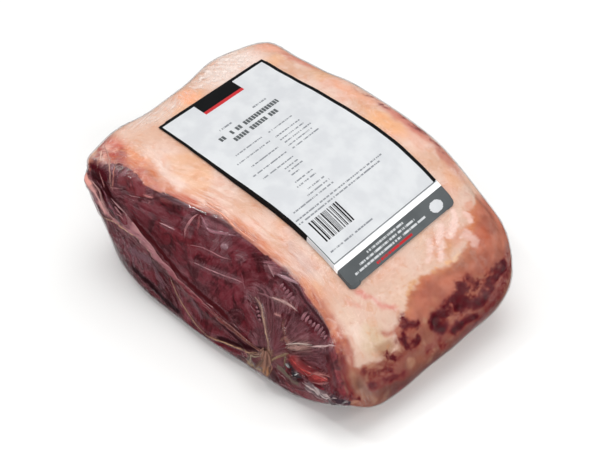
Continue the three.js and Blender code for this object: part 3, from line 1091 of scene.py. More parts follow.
BLOOD_STREAKS = tuple(Streak(*row) for row in (
    # two dark bands that meet, the soft halo round them, and smaller ones towards the foot
    (((123, 76, 50), (124, 71, 48), (125, 62, 47), (127, 54, 43), (129, 47, 39), (130, 40, 37),
      (127, 31, 39), (126, 24, 41), (125, 14, 42)), 4.2, 1.35),
    (((124, 47, 47), (123, 38, 50), (122, 30, 51), (123, 24, 47), (124, 14, 43), (123, 7, 43), (124, 3, 41),
      (126, 5, 36), (129, 0, 32)), 4.8, 1.35),
    (((124, 66, 48), (127, 52, 42), (130, 42, 37)), 3.0, 1.6),
    (((123, 24, 47), (123, 8, 43), (125, 4, 38)), 3.2, 1.6),
    (((122, 64, 50), (124, 46, 47), (123, 24, 46), (125, 6, 40), (128, -2, 33)), 9.0, 0.22),
    (((133, 37, 30), (133, 25, 32), (132, 16, 32), (133, 9, 30)), 3.6, 1.1),
    (((115, -19, 54), (117, -21, 52), (119, -20, 49), (120, -15, 48), (121, -9, 46)), 3.6, 0.80),
    (((120, -22, 48), (121, -25, 44), (124, -25, 39), (125, -21, 36), (125, -16, 36), (124, -12, 39)),
     3.4, 1.0),
    (((124, -25, 39), (125, -21, 36)), 2.6, 1.3),
    (((121, -42, 41), (123, -37, 38), (124, -34, 35)), 2.8, 1.1),
    (((120, -63, 40), (123, -52, 34), (124, -45, 32), (128, -37, 30)), 4.0, 0.5),
    (((122, -61, 33), (126, -57, 29), (128, -50, 28), (130, -39, 27), (132, -31, 25)), 3.2, 0.75),
    (((123, -77, 35), (127, -73, 29), (129, -69, 25)), 2.4, 0.8),
    (((118, -24, 50), (124, -26, 38), (125, -40, 35), (126, -56, 30)), 8.0, 0.26),
    (((129, -14, 30), (131, -4, 28), (133, 6, 26)), 4.0, 0.40),
    (((122, 82, 47), (128, 66, 41), (133, 47, 29), (135, 20, 14), (134, -20, 9), (131, -50, 12)), 6.0, 0.5),
    (((-30, 84, 101), (8, 86, 100), (34, 86, 99), (60, 86, 92)), 3.0, 0.4),
    (((-117, -70, 82), (-111, -80, 80)), 4.0, 0.6),
))


# ---------------------------------------------------------------- the film


@dataclass(frozen=True)
class Fold:
    """A narrow fold that stands on the film.

    Args:
        path: points in mm on or near the film.
        width: full width in mm.
        height: how far its ridge stands out in mm.
        milk: how milky it is, from 0 to 1.
        tone: its colour where it is milky; on the pocket's glints and the flesh strand's lines it is painted
            light.
        tip: its width at the end of the path, as a share of its width at the start.
        ragged: how uneven its edges are.
    """

    path: Path
    width: float = 1.4
    height: float = 0.7
    milk: float = 0.6
    tone: str = "ac7278"
    tip: float = 1.0
    ragged: float = 0.35


@dataclass(frozen=True)
class Gather:
    """Small folds that run together at one point of the film, like the spokes of a fan.

    Args:
        at: the point in mm.
        reach: how far the spokes run in mm.
        spokes: how close they stand.
        height: how far they stand out in mm.
        milk: how milky their crests are, from 0 to 1.
    """

    at: Point
    reach: float
    spokes: float
    height: float
    milk: float

    def crests(self, points: Array) -> Array:
        """Measures how near places are to the crest of a spoke.

        Args:
            points: places in mm, one a row.

        Returns:
            Shares from 0 to 1, less far from the point.
        """
        away = points - np.array(self.at)
        distance = np.linalg.norm(away, axis=1)
        angle = np.arctan2(away[:, 2], away[:, 0])
        spread = np.stack([np.cos(angle) * self.spokes, np.sin(angle) * self.spokes, distance / 22], axis=1)
        crest = np.clip(1 - 3.4 * np.abs(noise_at(spread, 1.0, self.at[0])), 0, 1) ** 1.5
        return crest * smooth(self.reach, 0.25 * self.reach, distance) * smooth(2, 9, distance)


@dataclass(frozen=True)
class Haze:
    """A patch of film that is milky or crumpled without a clear fold.

    Args:
        at: its middle in mm.
        reach: how far it reaches along each axis in mm.
        milk: how milky it is, from 0 to 1.
        crumple: how high its crumples stand in mm.
    """

    at: Point
    reach: Point
    milk: float
    crumple: float = 0.0

    def share(self, points: Array) -> Array:
        """How much of the patch lies at each place, from 0 to 1."""
        away = np.linalg.norm((points - self.at) / self.reach, axis=1)
        return 1 - smooth(0.4, 1.0, away)


FOLDS = tuple(Fold(*row) for row in (
    # from the dog ear: the lower edge of the seam, and the folds in the hollow beside it
    (((-103, -86, 45), (-92, -86, 48), (-80, -87, 51), (-70, -87, 51), (-62, -86, 50), (-55, -86, 46),
      (-45, -86, 42)), 1.0, 0.9, 0.95, "d0a68a"),
    (((-105, -85, 74), (-99, -85, 72), (-95, -86, 68), (-91, -87, 64), (-87, -87, 61), (-82, -87, 58)),
     1.8, 1.4, 0.95, "84505a"),
    (((-91, -85, 68), (-84, -85, 65), (-79, -84, 62), (-76, -85, 60)), 1.1, 1.2, 0.95, "c89a9c"),
    (((-87, -86, 64), (-80, -86, 60)), 0.9, 0.9, 0.95, "b88488"),
    (((-113, -86, 73), (-107, -86, 72), (-101, -86, 68), (-97, -87, 62), (-94, -86, 54), (-88, -86, 51)),
     1.0, 1.1, 0.95, "d0a09c"),
    # down from the back corner, and the juice drawn up into the film there
    (((-117, -68, 90), (-109, -72, 90), (-103, -75, 90), (-98, -79, 89), (-94, -82, 87), (-93, -83, 82),
      (-92, -84, 74)), 1.5, 0.5, 0.75, "c8988a", 0.5),
    (((-113, -73, 90), (-109, -77, 89), (-105, -81, 89)), 2.0, 0.7, 0.9, "ecc8b8", 0.6, 0.7),
    (((-98, -73, 90), (-91, -81, 86), (-91, -83, 74)), 1.2, 0.6, 0.8, "c88478", 0.5),
    (((-114, -70, 90), (-107, -80, 89), (-105, -84, 85)), 1.3, 0.5, 0.5, "c48a7c", 0.7),
    (((-103, -84, 84), (-100, -84, 78), (-97, -85, 71)), 0.9, 0.6, 0.6, "a87070"),
    (((-98, -76, 90), (-92, -82, 86)), 2.6, 0.3, 0.55, "9c6c74"),
    (((-91, -77, 89), (-87, -81, 86)), 2.0, 0.3, 0.5, "8a5660"),
    (((-88, -72, 90), (-83, -79, 88)), 2.4, 0.3, 0.55, "9c6c74"),
    # along the rim of the fat
    (((-32, -60, 87), (-20, -59, 87), (-10, -58, 87), (3, -59, 85), (16, -59, 84), (24, -59, 83)),
     1.3, 0.2, 0.85, "eca88e"),
    (((-28, -57, 88), (-18, -57, 88), (-12, -56, 87)), 1.1, 0.15, 0.6, "e09878"),
    # creases on the lean
    (((-66, -78, 82), (-62, -77, 82), (-58, -75, 83)), 1.9, 0.4, 0.85, "b87270", 0.6),
    (((-61, -78, 77), (-60, -77, 80)), 1.1, 0.4, 0.75, "9a5c60"),
    (((-24, -66, 84), (-26, -69, 82), (-29, -71, 75), (-30, -73, 71), (-29, -75, 65)),
     1.6, 0.8, 0.95, "c08488"),
    (((-23, -67, 84), (-21, -69, 80), (-21, -70, 75)), 2.2, 0.7, 0.75, "9a5256"),
    (((-22, -66, 84), (-18, -67, 82), (-14, -68, 79), (-8, -67, 79), (-1, -65, 81), (7, -62, 82)),
     3.2, 0.8, 0.85, "a4707a", 0.6),
    (((-51, -78, 67), (-44, -76, 67), (-38, -75, 67)), 0.9, 0.4, 0.95, "c49498"),
    (((-26, -76, 62), (-15, -73, 65), (-6, -72, 66), (2, -71, 66), (11, -69, 68)), 0.8, 0.4, 0.7),
    (((-22, -79, 52), (-17, -78, 53), (-7, -77, 54), (3, -75, 55), (15, -73, 57), (24, -72, 58)),
     0.9, 0.5, 0.8, "b48086"),
    (((-8, -69, 73), (-3, -68, 74)), 2.0, 0.7, 0.8, "8c5c62", 0.9, 0.7),
    (((-1, -68, 72), (5, -68, 74)), 3.4, 0.8, 0.85, "a88088", 0.9, 0.8),
    (((11, -68, 72), (16, -67, 73), (20, -67, 71)), 1.4, 0.9, 0.7, "9a6a70"),
    (((38, -73, 60), (44, -72, 61), (50, -71, 62)), 1.5, 0.7, 0.75, "8a5a60"),
    (((48, -71, 62), (58, -70, 64), (64, -69, 64), (70, -69, 63)), 2.4, 1.0, 0.9, "c49c98", 0.6),
    (((29, -75, 54), (36, -75, 55), (41, -75, 54), (44, -75, 52), (49, -78, 45), (53, -81, 38),
      (58, -84, 32), (61, -88, 28)), 4.0, 1.2, 0.65, "7c5054", 0.6),
    (((37, -75, 57), (42, -75, 55), (45, -75, 51), (50, -78, 44), (54, -81, 38), (59, -84, 32),
      (62, -88, 28)), 1.1, 1.7, 0.95, "c6a48c"),
    (((46, -64, 76), (54, -62, 76), (62, -60, 75)), 2.4, 0.9, 0.9, "b08890"),
    (((37, -63, 78), (41, -64, 76), (45, -65, 73)), 1.5, 0.7, 0.8, "a87c80"),
    # across the far side and the back
    (((-121, 82, 60), (-98, 88, 54), (-60, 90, 47), (-14, 91, 42), (34, 91, 38)), 1.5, 1.0, 0.9, "a87c7c"),
    (((-121, 82, 52), (-104, 87, 40), (-82, 90, 26), (-62, 90, 16)), 1.3, 0.9, 0.8, "8c5c64"),
    (((-120, 83, 66), (-100, 87, 68), (-74, 88, 70)), 1.1, 0.8, 0.8, "9c6c72"),
    (((102, 90, 30), (80, 92, 38), (50, 91, 46), (22, 90, 50)), 1.3, 0.9, 0.85, "a07478"),
    (((100, 91, 22), (74, 92, 20), (44, 92, 22)), 1.1, 0.8, 0.8, "8c5c64"),
    (((-128, 72, 58), (-136, 46, 52), (-138, 12, 46), (-138, -22, 40)), 1.4, 1.0, 0.85, "a47a7c"),
    (((-129, 70, 48), (-137, 44, 34), (-138, 16, 22)), 1.2, 0.8, 0.8, "8c5c64"),
    (((-122, -80, 62), (-132, -60, 52), (-138, -32, 40)), 1.3, 0.9, 0.85, "9c7074"),
    # from the knot to the rim, up the lean and along the foot
    (((70, -80, 38), (75, -78, 41), (80, -76, 43), (87, -73, 47)), 5.6, 1.3, 0.85, "a88078", 0.4),
    (((69, -79, 40), (78, -76, 45), (87, -73, 48)), 0.9, 1.6, 0.95, "d8c2b8"),
    (((85, -74, 46), (89, -73, 48), (94, -72, 51), (103, -69, 56)), 1.4, 1.0, 0.95, "dcbab8", 0.8),
    (((73, -79, 35), (66, -83, 29), (62, -88, 25)), 1.6, 1.4, 0.9, "a88c6c"),
    (((70, -80, 34), (73, -84, 26)), 1.1, 1.0, 0.8, "867458"),
    (((6, -92, 12), (15, -91, 14), (23, -90, 16), (33, -89, 18), (46, -91, 24), (56, -89, 29)),
     1.1, 0.9, 0.9, "bd9474"),
    (((-80, -87, 41), (-77, -88, 35), (-76, -88, 30)), 2.0, 0.9, 0.75, "8c6068", 0.6, 0.7),
    (((-72, -88, 36), (-69, -88, 30), (-66, -89, 24)), 1.8, 0.9, 0.75, "8a5c66", 0.6, 0.7),
    (((-84, -87, 38), (-82, -88, 30)), 1.6, 0.8, 0.7, "7c5058", 0.8, 0.7),
    (((-62, -88, 31), (-58, -89, 24)), 1.7, 0.8, 0.7, "84585f", 0.8, 0.7),
    (((-33, -86, 35), (-30, -87, 30), (-27, -87, 26), (-20, -88, 21), (-11, -90, 17), (-1, -91, 14),
      (8, -92, 13)), 0.8, 0.7, 0.8, "a07a66"),
    (((62, -72, 54), (62, -74, 49), (66, -76, 44), (70, -79, 40)), 2.0, 1.0, 0.7, "84504a"),
    (((64, -79, 39), (67, -77, 43), (72, -78, 42)), 1.4, 1.0, 0.7, "94665c"),
    (((53, -73, 52), (56, -73, 53), (59, -73, 54)), 1.6, 0.7, 0.9, "c48c88"),
    # the bare strand of flesh beside the knot, with its fibres: their pale lines are partly painted
    # highlights, and the deep red line between them is painted shade
    (((72, -80, 34), (81, -80, 31), (90, -78, 30), (98, -78, 31), (107, -79, 35)),
     4.8, 1.6, 1.0, "bc4a48", 1.5, 0.25),
    (((77, -79, 34), (85, -79, 31), (92, -78, 31), (99, -77, 34), (109, -79, 40)),
     1.1, 2.3, 0.95, "d08c86"),
    (((85, -80, 29), (91, -79, 28), (96, -77, 32), (106, -79, 35)), 1.1, 2.3, 0.95, "cc8a84"),
    (((95, -81, 26), (102, -80, 29), (109, -79, 35)), 1.3, 1.5, 0.85, "b47878"),
    (((79, -80, 32.5), (88, -78, 31.5), (97, -77, 33)), 1.2, 2.2, 1.0, "661820"),
    # the pocket of empty film under it, with two near-white painted glints
    (((89, -84, 23), (95, -83, 23), (102, -83, 24), (111, -83, 27), (119, -83, 31)),
     1.5, 1.4, 0.9, "ccb6b4", 1.0, 0.8),
    (((91, -84, 21), (100, -83, 20), (107, -81, 19)), 1.3, 1.1, 0.8, "a88e90", 1.0, 0.8),
    (((96, -83, 26), (106, -83, 25), (115, -83, 27)), 1.1, 1.4, 0.85, "d8c8c6", 1.0, 0.8),
    (((92, -83, 22), (98, -83, 22.5), (104, -82, 22)), 2.2, 0.9, 0.7, "8a7478", 1.0, 0.8),
    (((121, -81, 28), (123, -80, 30), (125, -79, 29)), 0.8, 1.0, 0.6, "c8bebe", 1.0, 0.9),
    (((110, -83, 25), (114, -83, 24), (118, -82, 25)), 0.9, 1.0, 0.8, "8a7c80", 1.0, 0.9),
    # painted glints: two near-white, opaque folds in the empty pocket
    (((73, -83, 28.5), (77, -83, 26.5)), 1.1, 1.9, 0.95, "c8c8c6", 1.0, 0.8),
    (((80.5, -84, 23.5), (82.5, -83, 25), (84, -82, 26.5)), 2.0, 2.0, 1.0, "f0eeee", 0.6, 0.9),
    (((66, -89, 9), (84, -88, 14), (102, -86, 19), (118, -82, 22)), 1.2, 0.6, 0.5, "8a545c"),
    (((58, -89, 30), (52, -91, 25), (45, -90, 18)), 2.6, 1.1, 0.8, "846658", 0.6, 0.7),
    (((59, -89, 27), (55, -91, 20), (53, -91, 13)), 2.6, 1.1, 0.8, "7c5e50", 0.6, 0.7),
    (((57, -90, 27), (49, -91, 19), (41, -90, 12)), 1.3, 1.0, 0.8, "a08c78", 0.6, 0.7),
))

GATHERS = (
    Gather((-112, -88, 70), 85, 7, 0.40, 0.15),
    Gather((62, -90, 26), 90, 5, 0.40, 0.05),
    Gather((-108, -66, 92), 42, 6, 0.30, 0.08),
    Gather((-122, 84, 58), 80, 6, 0.35, 0.12),
    Gather((104, 92, 26), 70, 6, 0.30, 0.10),
)

HAZES = tuple(Haze(*row) for row in (
    ((-90, -80, 81), (20, 14, 12), 0.10, 0.3),
    ((-75, -87, 37), (34, 12, 18), 0.26, 0.9),
    ((-45, -90, 18), (50, 12, 16), 0.10, 0.4),
    ((-22, -82, 45), (34, 12, 12), 0.10, 0.3),
    ((-60, -80, 74), (34, 14, 12), 0.12, 0.3),
    ((76, -72, 56), (24, 14, 14), 0.04, 0.3),
    ((41, -63, 77), (10, 7, 4.5), 0.55, 0.3),
    ((31, -75, 52), (5, 6, 8), 0.45, 0.4),
    ((84, -84, 25), (15, 8, 8), 0.22, 1.2),
    ((118, -80, 29), (14, 8, 8), 0.18, 1.0),
    ((-108, -87, 60), (7, 9, 14), 0.50, 0.3),
    ((-109, -86, 76), (7, 9, 7), 0.30, 0.4),
    ((50, -89, 14), (16, 9, 8), 0.35, 0.9),
    ((-116, 40, 96), (16, 44, 14), 0.42, 0.9),
    ((-114, -20, 94), (13, 34, 12), 0.25, 0.5),
    ((-112, -68, 88), (14, 12, 10), 0.06, 0.4),
    ((98, 40, 73), (16, 30, 14), 0.03, 1.1),
    ((112, 48, 62), (12, 22, 12), 0.02, 0.6),
    ((126, -66, 26), (10, 12, 12), 0.05, 0.8),
))

STRAND_LADDERS = (
    (((39, -75, 51), (46, -78, 43)), 4, 3.6),
    (((51, -65, 72), (64, -67, 67)), 5, 5.6),
    (((74, -69, 63), (95, -68, 56)), 8, 7.6),
)


# What shows in and through the film where it is folded over itself, painted on it in this order.
# Among it lies painted light: a violet-grey sheen low on the lean, shade in the hollows of the dog ear,
# above the seam flap, under the rim and between the rungs of the ladders, and a dark reflection in
# the empty pocket at the foot.
FILM_STREAKS = tuple(Streak(*row) for row in (
    # painted sheen: violet-grey reflection in the film low on the lean
    (((-50, -88, 36), (-45, -87, 29), (-37, -89, 22)), 4.0, 0.55, "5c4048"),
    (((-75, -88, 35), (-61, -87, 35), (-50, -87, 37)), 4.6, 0.75, "6c4c54"),
    (((-12, -88, 32), (-5, -88, 26), (1, -89, 20)), 2.4, 0.55, "5c3a44"),
    (((-74, -89, 22), (-67, -89, 21), (-51, -89, 18), (-36, -90, 14), (-16, -91, 13)), 3.6, 0.8, "23080e"),
    (((-43, -86, 36), (-31, -86, 33), (-25, -87, 31)), 1.8, 0.8, "40060f"),
    (((13, -88, 29), (22, -87, 26), (33, -87, 24), (45, -88, 25)), 2.0, 0.8, "2c060e"),
    # painted shadow of the seam flap: a dark line just above its lifted upper edge
    (((-79, -83, 64), (-71, -83, 59), (-61, -83, 54), (-51, -83, 50), (-41, -83, 46), (-31, -84, 42),
      (-15, -85, 39), (0, -85, 37), (13, -84, 34), (30, -85, 31)), 2.3, 1.0, "3c040b"),
    (((-113, -83, 82), (-106, -84, 84), (-100, -84, 82), (-97, -84, 77)), 4.4, 0.95, "480a16"),
    (((-112, -85, 76), (-105, -85, 78), (-100, -84, 76), (-95, -85, 71)), 3.4, 1.0, "34030c"),
    (((-97, -82, 86), (-91, -82, 84), (-88, -83, 77)), 3.0, 0.6, "5c3038"),
    # painted shade in the two hollows between the folds of the dog ear
    (((-99, -85, 73), (-93, -85, 69), (-85, -85, 65), (-80, -85, 61)), 2.6, 1.0, "300309"),
    (((-109, -86, 72), (-101, -86, 69), (-94, -87, 64), (-89, -87, 58), (-85, -87, 56)),
     2.2, 1.0, "34040c"),
    (((-119, -85, 72), (-115, -87, 71), (-110, -87, 68)), 3.4, 1.0, "e6a094"),
    (((-112, -87, 69), (-107, -87, 66), (-103, -87, 61), (-101, -86, 54), (-96, -86, 50)),
     2.8, 0.9, "cc9490"),
    (((-99, -86, 53), (-90, -86, 50), (-81, -86, 53)), 2.2, 0.8, "b07a7c"),
    (((14, -91, 15), (25, -89, 18), (36, -88, 21), (48, -88, 27), (56, -86, 30)), 1.9, 0.95, "28030a"),
    (((12, -92, 11), (24, -91, 13), (35, -90, 14), (50, -90, 20)), 2.4, 0.8, "560f1c"),
    # painted shadow under the rim, where the lean tucks under the fat
    (((45, -61, 78), (56, -62, 76), (64, -62, 73), (72, -64, 69), (80, -64, 66), (88, -64, 61),
      (98, -68, 57)), 1.8, 0.75, "300a13"),
    (((-58, -74, 86), (-51, -71, 85), (-44, -69, 85), (-31, -67, 85)), 1.8, 0.7, "483034"),
    (((-19, -65, 85), (-12, -63, 85), (-4, -62, 85), (4, -61, 85)), 1.6, 0.7, "441c22"),
    (((47, -73, 57), (52, -76, 47), (58, -80, 36)), 3.0, 0.6, "5c3236"),
    (((73, -80, 33), (82, -80, 30), (91, -79, 28), (103, -79, 30)), 3.4, 0.9, "7c2c2e"),
    # painted dark reflection in the empty film pocket at the foot
    (((73, -84, 28), (80, -84, 25), (87, -84, 23)), 3.2, 1.0, "282328"),
    (((67, -86, 25), (75, -86, 22), (81, -86, 18), (87, -85, 19)), 2.4, 0.8, "60544a"),
    (((58, -86, 33), (60, -88, 27), (60, -90, 19)), 4.0, 0.85, "84604e"),
    (((41, -89, 9), (49, -90, 12), (59, -90, 17)), 3.4, 0.8, "8a7458"),
    (((73, -88, 14), (87, -86, 13), (98, -84, 13), (110, -80, 12)), 3.2, 0.8, "743436"),
    (((66, -89, 19), (77, -87, 16), (86, -86, 14)), 1.7, 0.9, "360a10"),
    (((90, -84, 23), (97, -84, 23), (107, -83, 24), (114, -83, 26)), 3.2, 0.8, "6e5c60"),
    # painted dark reflection in the empty film pocket at the foot
    (((113, -83, 29), (120, -82, 29), (126, -78, 26)), 3.2, 0.8, "3a2a32"),
    (((51, -88, 29), (55, -87, 31), (58, -86, 32)), 2.2, 0.9, "260508"),
    # painted shade in the gaps between the rungs of the three ladders
    (((75, -68, 64), (95, -67, 57)), 3.2, 0.8, "3a0c16"),
    (((50, -64, 74), (64, -66, 69)), 2.4, 0.7, "420e18"),
    (((38, -75, 50), (46, -78, 43)), 2.0, 0.8, "3a0a14"),
))


# Where the label's back edge lies, its middle line there and how that line turns, in mm.
LABEL_BACK_X = -101.07
LABEL_MIDDLE_Y = 16.58
LABEL_TURN = math.tan(math.radians(-1.2))


def label_cover(points: Array) -> Array:
    """Measures how far places lie under the label.

    Args:
        points: places in mm, one a row.

    Returns:
        Shares from 0, beside the label, to 1, under it.
    """
    x = points[:, 0] - LABEL_BACK_X
    across = np.abs(points[:, 1] - LABEL_MIDDLE_Y - LABEL_TURN * x)
    inside = smooth(-5, -1, x) * smooth(192, 188, x) * smooth(53, 49.5, across)
    return inside * smooth(50, 60, points[:, 2])


@dataclass
class FilmSkin:
    """The bag where it is drawn on the meat, as one closed skin in two pieces.

    The cut side, where the film is gathered, is finer than the rest.

    Args:
        form: the pack's form.
        outward: a face is on the cut side if its normal's Y is less than this,
        beyond: and its middle's Y in mm is less than this,
        flat: and its normal's Z is less than this.
    """

    form: PackForm
    outward: float = -0.25
    beyond: float = -55.0
    flat: float = 0.93
    finish: ShrinkFilm = ShrinkFilm()
    piece: Piece = field(init=False)
    cut_side: Piece = field(init=False)

    def build(self) -> None:
        """Copies the pack's form and raises the folds of the film on it."""
        self.piece = self.form.copy("film", 2)
        self.cut_side = self.split_cut_side()
        subdivide(self.cut_side, 1)
        for piece in (self.piece, self.cut_side):
            points, normals = places_of(piece), normals_of(piece)
            set_places(piece, "drawn", drawn_lines(points, above_rim(points, normals)))
            lift, milk, tone = self.gathered(points, normals)
            move_to(piece, np.clip(points + normals * lift[:, None], self.form.low, self.form.high))
            set_numbers(piece, "milk", milk)
            set_colours(piece, "milk_and_painted_light_tone", tone)

    def split_cut_side(self) -> Piece:
        """Parts the film over the cut side from the rest.

        Returns:
            The film over the cut side.
        """
        mesh = self.piece.data
        chosen = [p.normal.y < self.outward and p.center.y < self.beyond * MM and p.normal.z < self.flat
                  for p in mesh.polygons]
        with edit_mode(self.piece):
            bpy.ops.mesh.select_all(action="DESELECT")
        mesh.polygons.foreach_set("select", chosen)
        before = set(bpy.data.objects)
        only(self.piece)
        bpy.ops.object.mode_set(mode="EDIT")
        bpy.ops.mesh.separate(type="SELECTED")
        bpy.ops.object.mode_set(mode="OBJECT")
        part = (set(bpy.data.objects) - before).pop()
        part.name = part.data.name = "film_cut_side"
        return part

    def gathered(self, points: Array, normals: Array) -> tuple[Array, Array, Array]:
        """How the film lies at places on the form.

        Args:
            points: places in mm.
            normals: the form's normals there.

        Returns:
            How far the film stands out in mm, how milky it is and its linear colour, for each place.
            The colour holds painted shade beside the folds and the painted light of the film streaks.
        """
        cut = smooth(0.15, 0.55, -normals[:, 1]) * smooth(97, 86, points[:, 2])
        other = np.maximum(normals[:, 1], -normals[:, 0])
        cut = np.maximum(cut, 0.7 * smooth(0.4, 0.8, other) * smooth(84, 72, points[:, 2]))
        bare = 1 - label_cover(points)
        lift = (0.10 + 0.22 * cut) * noise_at(points, 13, 30.0)
        streaks = smooth(-0.15, 0.6, noise_at(points, np.array([16, 16, 5]), 4.0))
        milk = 0.012 + cut * 0.05 * streaks
        tone = tinted(linear_row("efe3dc"), "a06a72", cut)
        for gather in GATHERS:
            crests = gather.crests(points)
            lift += gather.height * crests
            milk += gather.milk * crests * (0.35 + 0.65 * cut)
        crumple = noise_at(points, 3.6, 60.0) + 0.6 * noise_at(points, 1.9, 70.0)
        for haze in HAZES:
            share = haze.share(points)
            lift += haze.crumple * share * crumple
            milk += haze.milk * share * (0.75 + 0.7 * crumple)
        for fold in FOLDS:
            distance, along = path_distance(points, fold.path)
            ends = smooth(0, 0.15, along) * smooth(1, 0.85, along)
            ridge = np.exp(-((distance / (0.8 * fold.width)) ** 2)) * ends
            trough = np.exp(-(((distance - 2.0 * fold.width) / fold.width) ** 2)) * ends
            lift += fold.height * (0.7 * ridge - 0.25 * trough)
            milk += 0.30 * fold.milk * ridge
            tone = tinted(tone, fold.tone, 0.8 * ridge)
            # painted shade: a dark, opaque line in the trough beside each fold on the cut side
            beside = 0.60 * fold.milk * trough * cut
            tone = tinted(tone, "34060e", beside)
            milk += (1 - milk) * beside
        for streak in FILM_STREAKS:
            share = smooth(0.12, 0.80, streak.share(points + 0.5 * crumple[:, None]))
            tone = tinted(tone, streak.colour, share**0.5)
            milk += (1 - milk) * share
        return lift * bare - 0.25 * (1 - bare), np.clip(milk, 0, 1), tone

    def dress(self) -> None:
        """Gives the film its material."""
        material = self.finish.make()
        for piece in (self.piece, self.cut_side):
            piece.data.materials.append(material)


@dataclass
class FilmFolds:
    """The narrow folds of the bag, each a low tent of film along its path.

    Args:
        form: the pack's form that the folds stand on.
        stray_counts: how many stray folds are tried at each of the first gathers.
        seed: of the places and sizes of the stray folds.
    """

    form: PackForm
    stray_counts: tuple[int, ...] = (26, 44, 10)
    seed: int = 5
    finish: ShrinkFilm = ShrinkFilm("bunched_shrink_film", 0.10, 1.5, 0.3, 1.45)
    piece: Piece = field(init=False)

    def build(self) -> None:
        """Builds every fold and joins them into one piece."""
        folds = [*FOLDS, *self.ladder_folds(), *self.stray_folds()]
        self.piece = joined("film_folds", [self.fold(i, f) for i, f in enumerate(folds)])

    def ladder_folds(self) -> list[Fold]:
        """The rungs of film that stand side by side where it was pulled across.

        Returns:
            One fold for each rung.
        """
        rungs = []
        for (start, end), count, length in STRAND_LADDERS:
            first, last = np.array(start, float), np.array(end, float)
            along = (last - first) / np.linalg.norm(last - first)
            outward = np.array([0.25, -0.9, 0.35])
            across = np.cross(outward, along)
            across /= np.linalg.norm(across)
            for i in range(count):
                middle = first + (last - first) * (i + 0.5) / count
                half = 0.5 * length * (0.8 + 0.3 * math.sin(5.0 * i + length))
                path = tuple(tuple(middle + side * half * across) for side in (-1, 0, 1))
                rungs.append(Fold(path, 2.2, 1.1, 0.95, "a06c74"))
        return rungs

    def stray_folds(self) -> list[Fold]:
        """Short fine folds that run towards the gathers, placed at random from a fixed seed.

        Returns:
            The folds that lie on the cut side.
        """
        rng = random.Random(self.seed)
        strays = []
        for gather, count in zip(GATHERS, self.stray_counts):
            at = np.array(gather.at, float)
            for _ in range(count):
                angle = rng.uniform(0, 2 * math.pi)
                way = np.array([math.cos(angle), 0, math.sin(angle)])
                start = rng.uniform(10, 0.75 * gather.reach)
                length = rng.uniform(4, 13)
                first, last = at + start * way, at + (start + length) * way
                if min(first[2], last[2]) < 6 or max(first[2], last[2]) > 84 or abs(last[0]) > 112:
                    continue
                last = last + rng.uniform(-1.2, 1.2) * np.array([way[2], 0, -way[0]])
                strays.append(Fold((tuple(first), tuple((first + last) / 2), tuple(last)),
                                   rng.uniform(0.5, 0.9), rng.uniform(0.2, 0.5), rng.uniform(0.4, 0.8),
                                   rng.choice(("9c5c64", "b07a7c", "84424c"))))
        return strays

    def fold(self, number: int, fold: Fold) -> Piece:
        """Builds one fold.

        Args:
            number: its place in the list.
            fold: its path and sizes.

        Returns:
            The fold's mesh.
        """
        length = float(np.linalg.norm(np.diff(np.asarray(fold.path, float), axis=0), axis=1).sum())
        steps = max(8, int(length))
        places, normals = self.form.lay(resample(fold.path, steps + 1))
        ahead = np.gradient(places, axis=0)
        ahead /= np.linalg.norm(ahead, axis=1)[:, None]
        across = np.cross(normals, ahead)
        across /= np.linalg.norm(across, axis=1)[:, None]
        mesh, index, _, side = flat_grid("fold", steps, 4)
        t = index / steps
        taper = np.sqrt(np.clip(np.sin(np.pi * np.clip(t, 0.02, 0.98)), 0, 1))
        grain = 6.0 if fold.ragged < 0.5 else 3.0
        wobble = np.array([noise.noise(Vector((number * 7.3, length * x / grain, 1.7 * math.copysign(1, y))))
                           for x, y in zip(t, side)])
        wobble = np.clip(1 + 1.3 * fold.ragged * wobble, 0.3, 2)
        reach = 0.5 * fold.width * taper * wobble * (1 + (fold.tip - 1) * t)
        lift = 0.2 + (fold.height * taper * wobble + 0.15) * (1 - np.abs(side)) ** 0.8
        moved = places[index] + across[index] * (side * reach)[:, None] + normals[index] * lift[:, None]
        move_to(mesh, np.clip(moved, self.form.low, self.form.high))
        broken = np.array([noise.noise(Vector((number * 3.1, 0, length * x / 5))) for x in t])
        clear = (0.95 + 0.4 * broken) * (0.4 + 0.6 * taper) * (1 - 0.35 * np.abs(side))
        set_numbers(mesh, "milk", np.clip(fold.milk * clear, 0, 1))
        tone = linear_row(fold.tone)
        shade = 0.55 if fold.milk > 0.9 or fold.height > 0.4 else 1.0
        set_colours(mesh, "milk_and_painted_light_tone", mixed_rows(tone, shade * tone, smooth(0.0, 0.6, broken)[:, None]))
        set_places(mesh, "drawn", np.stack([length * t, side * fold.width, number + 0.0 * t], axis=1))
        return mesh

    def dress(self) -> None:
        """Rounds the folds off and gives them their material."""
        with edit_mode(self.piece):
            bpy.ops.mesh.normals_make_consistent(inside=False)
        dress_smooth(self.piece, self.finish.make())


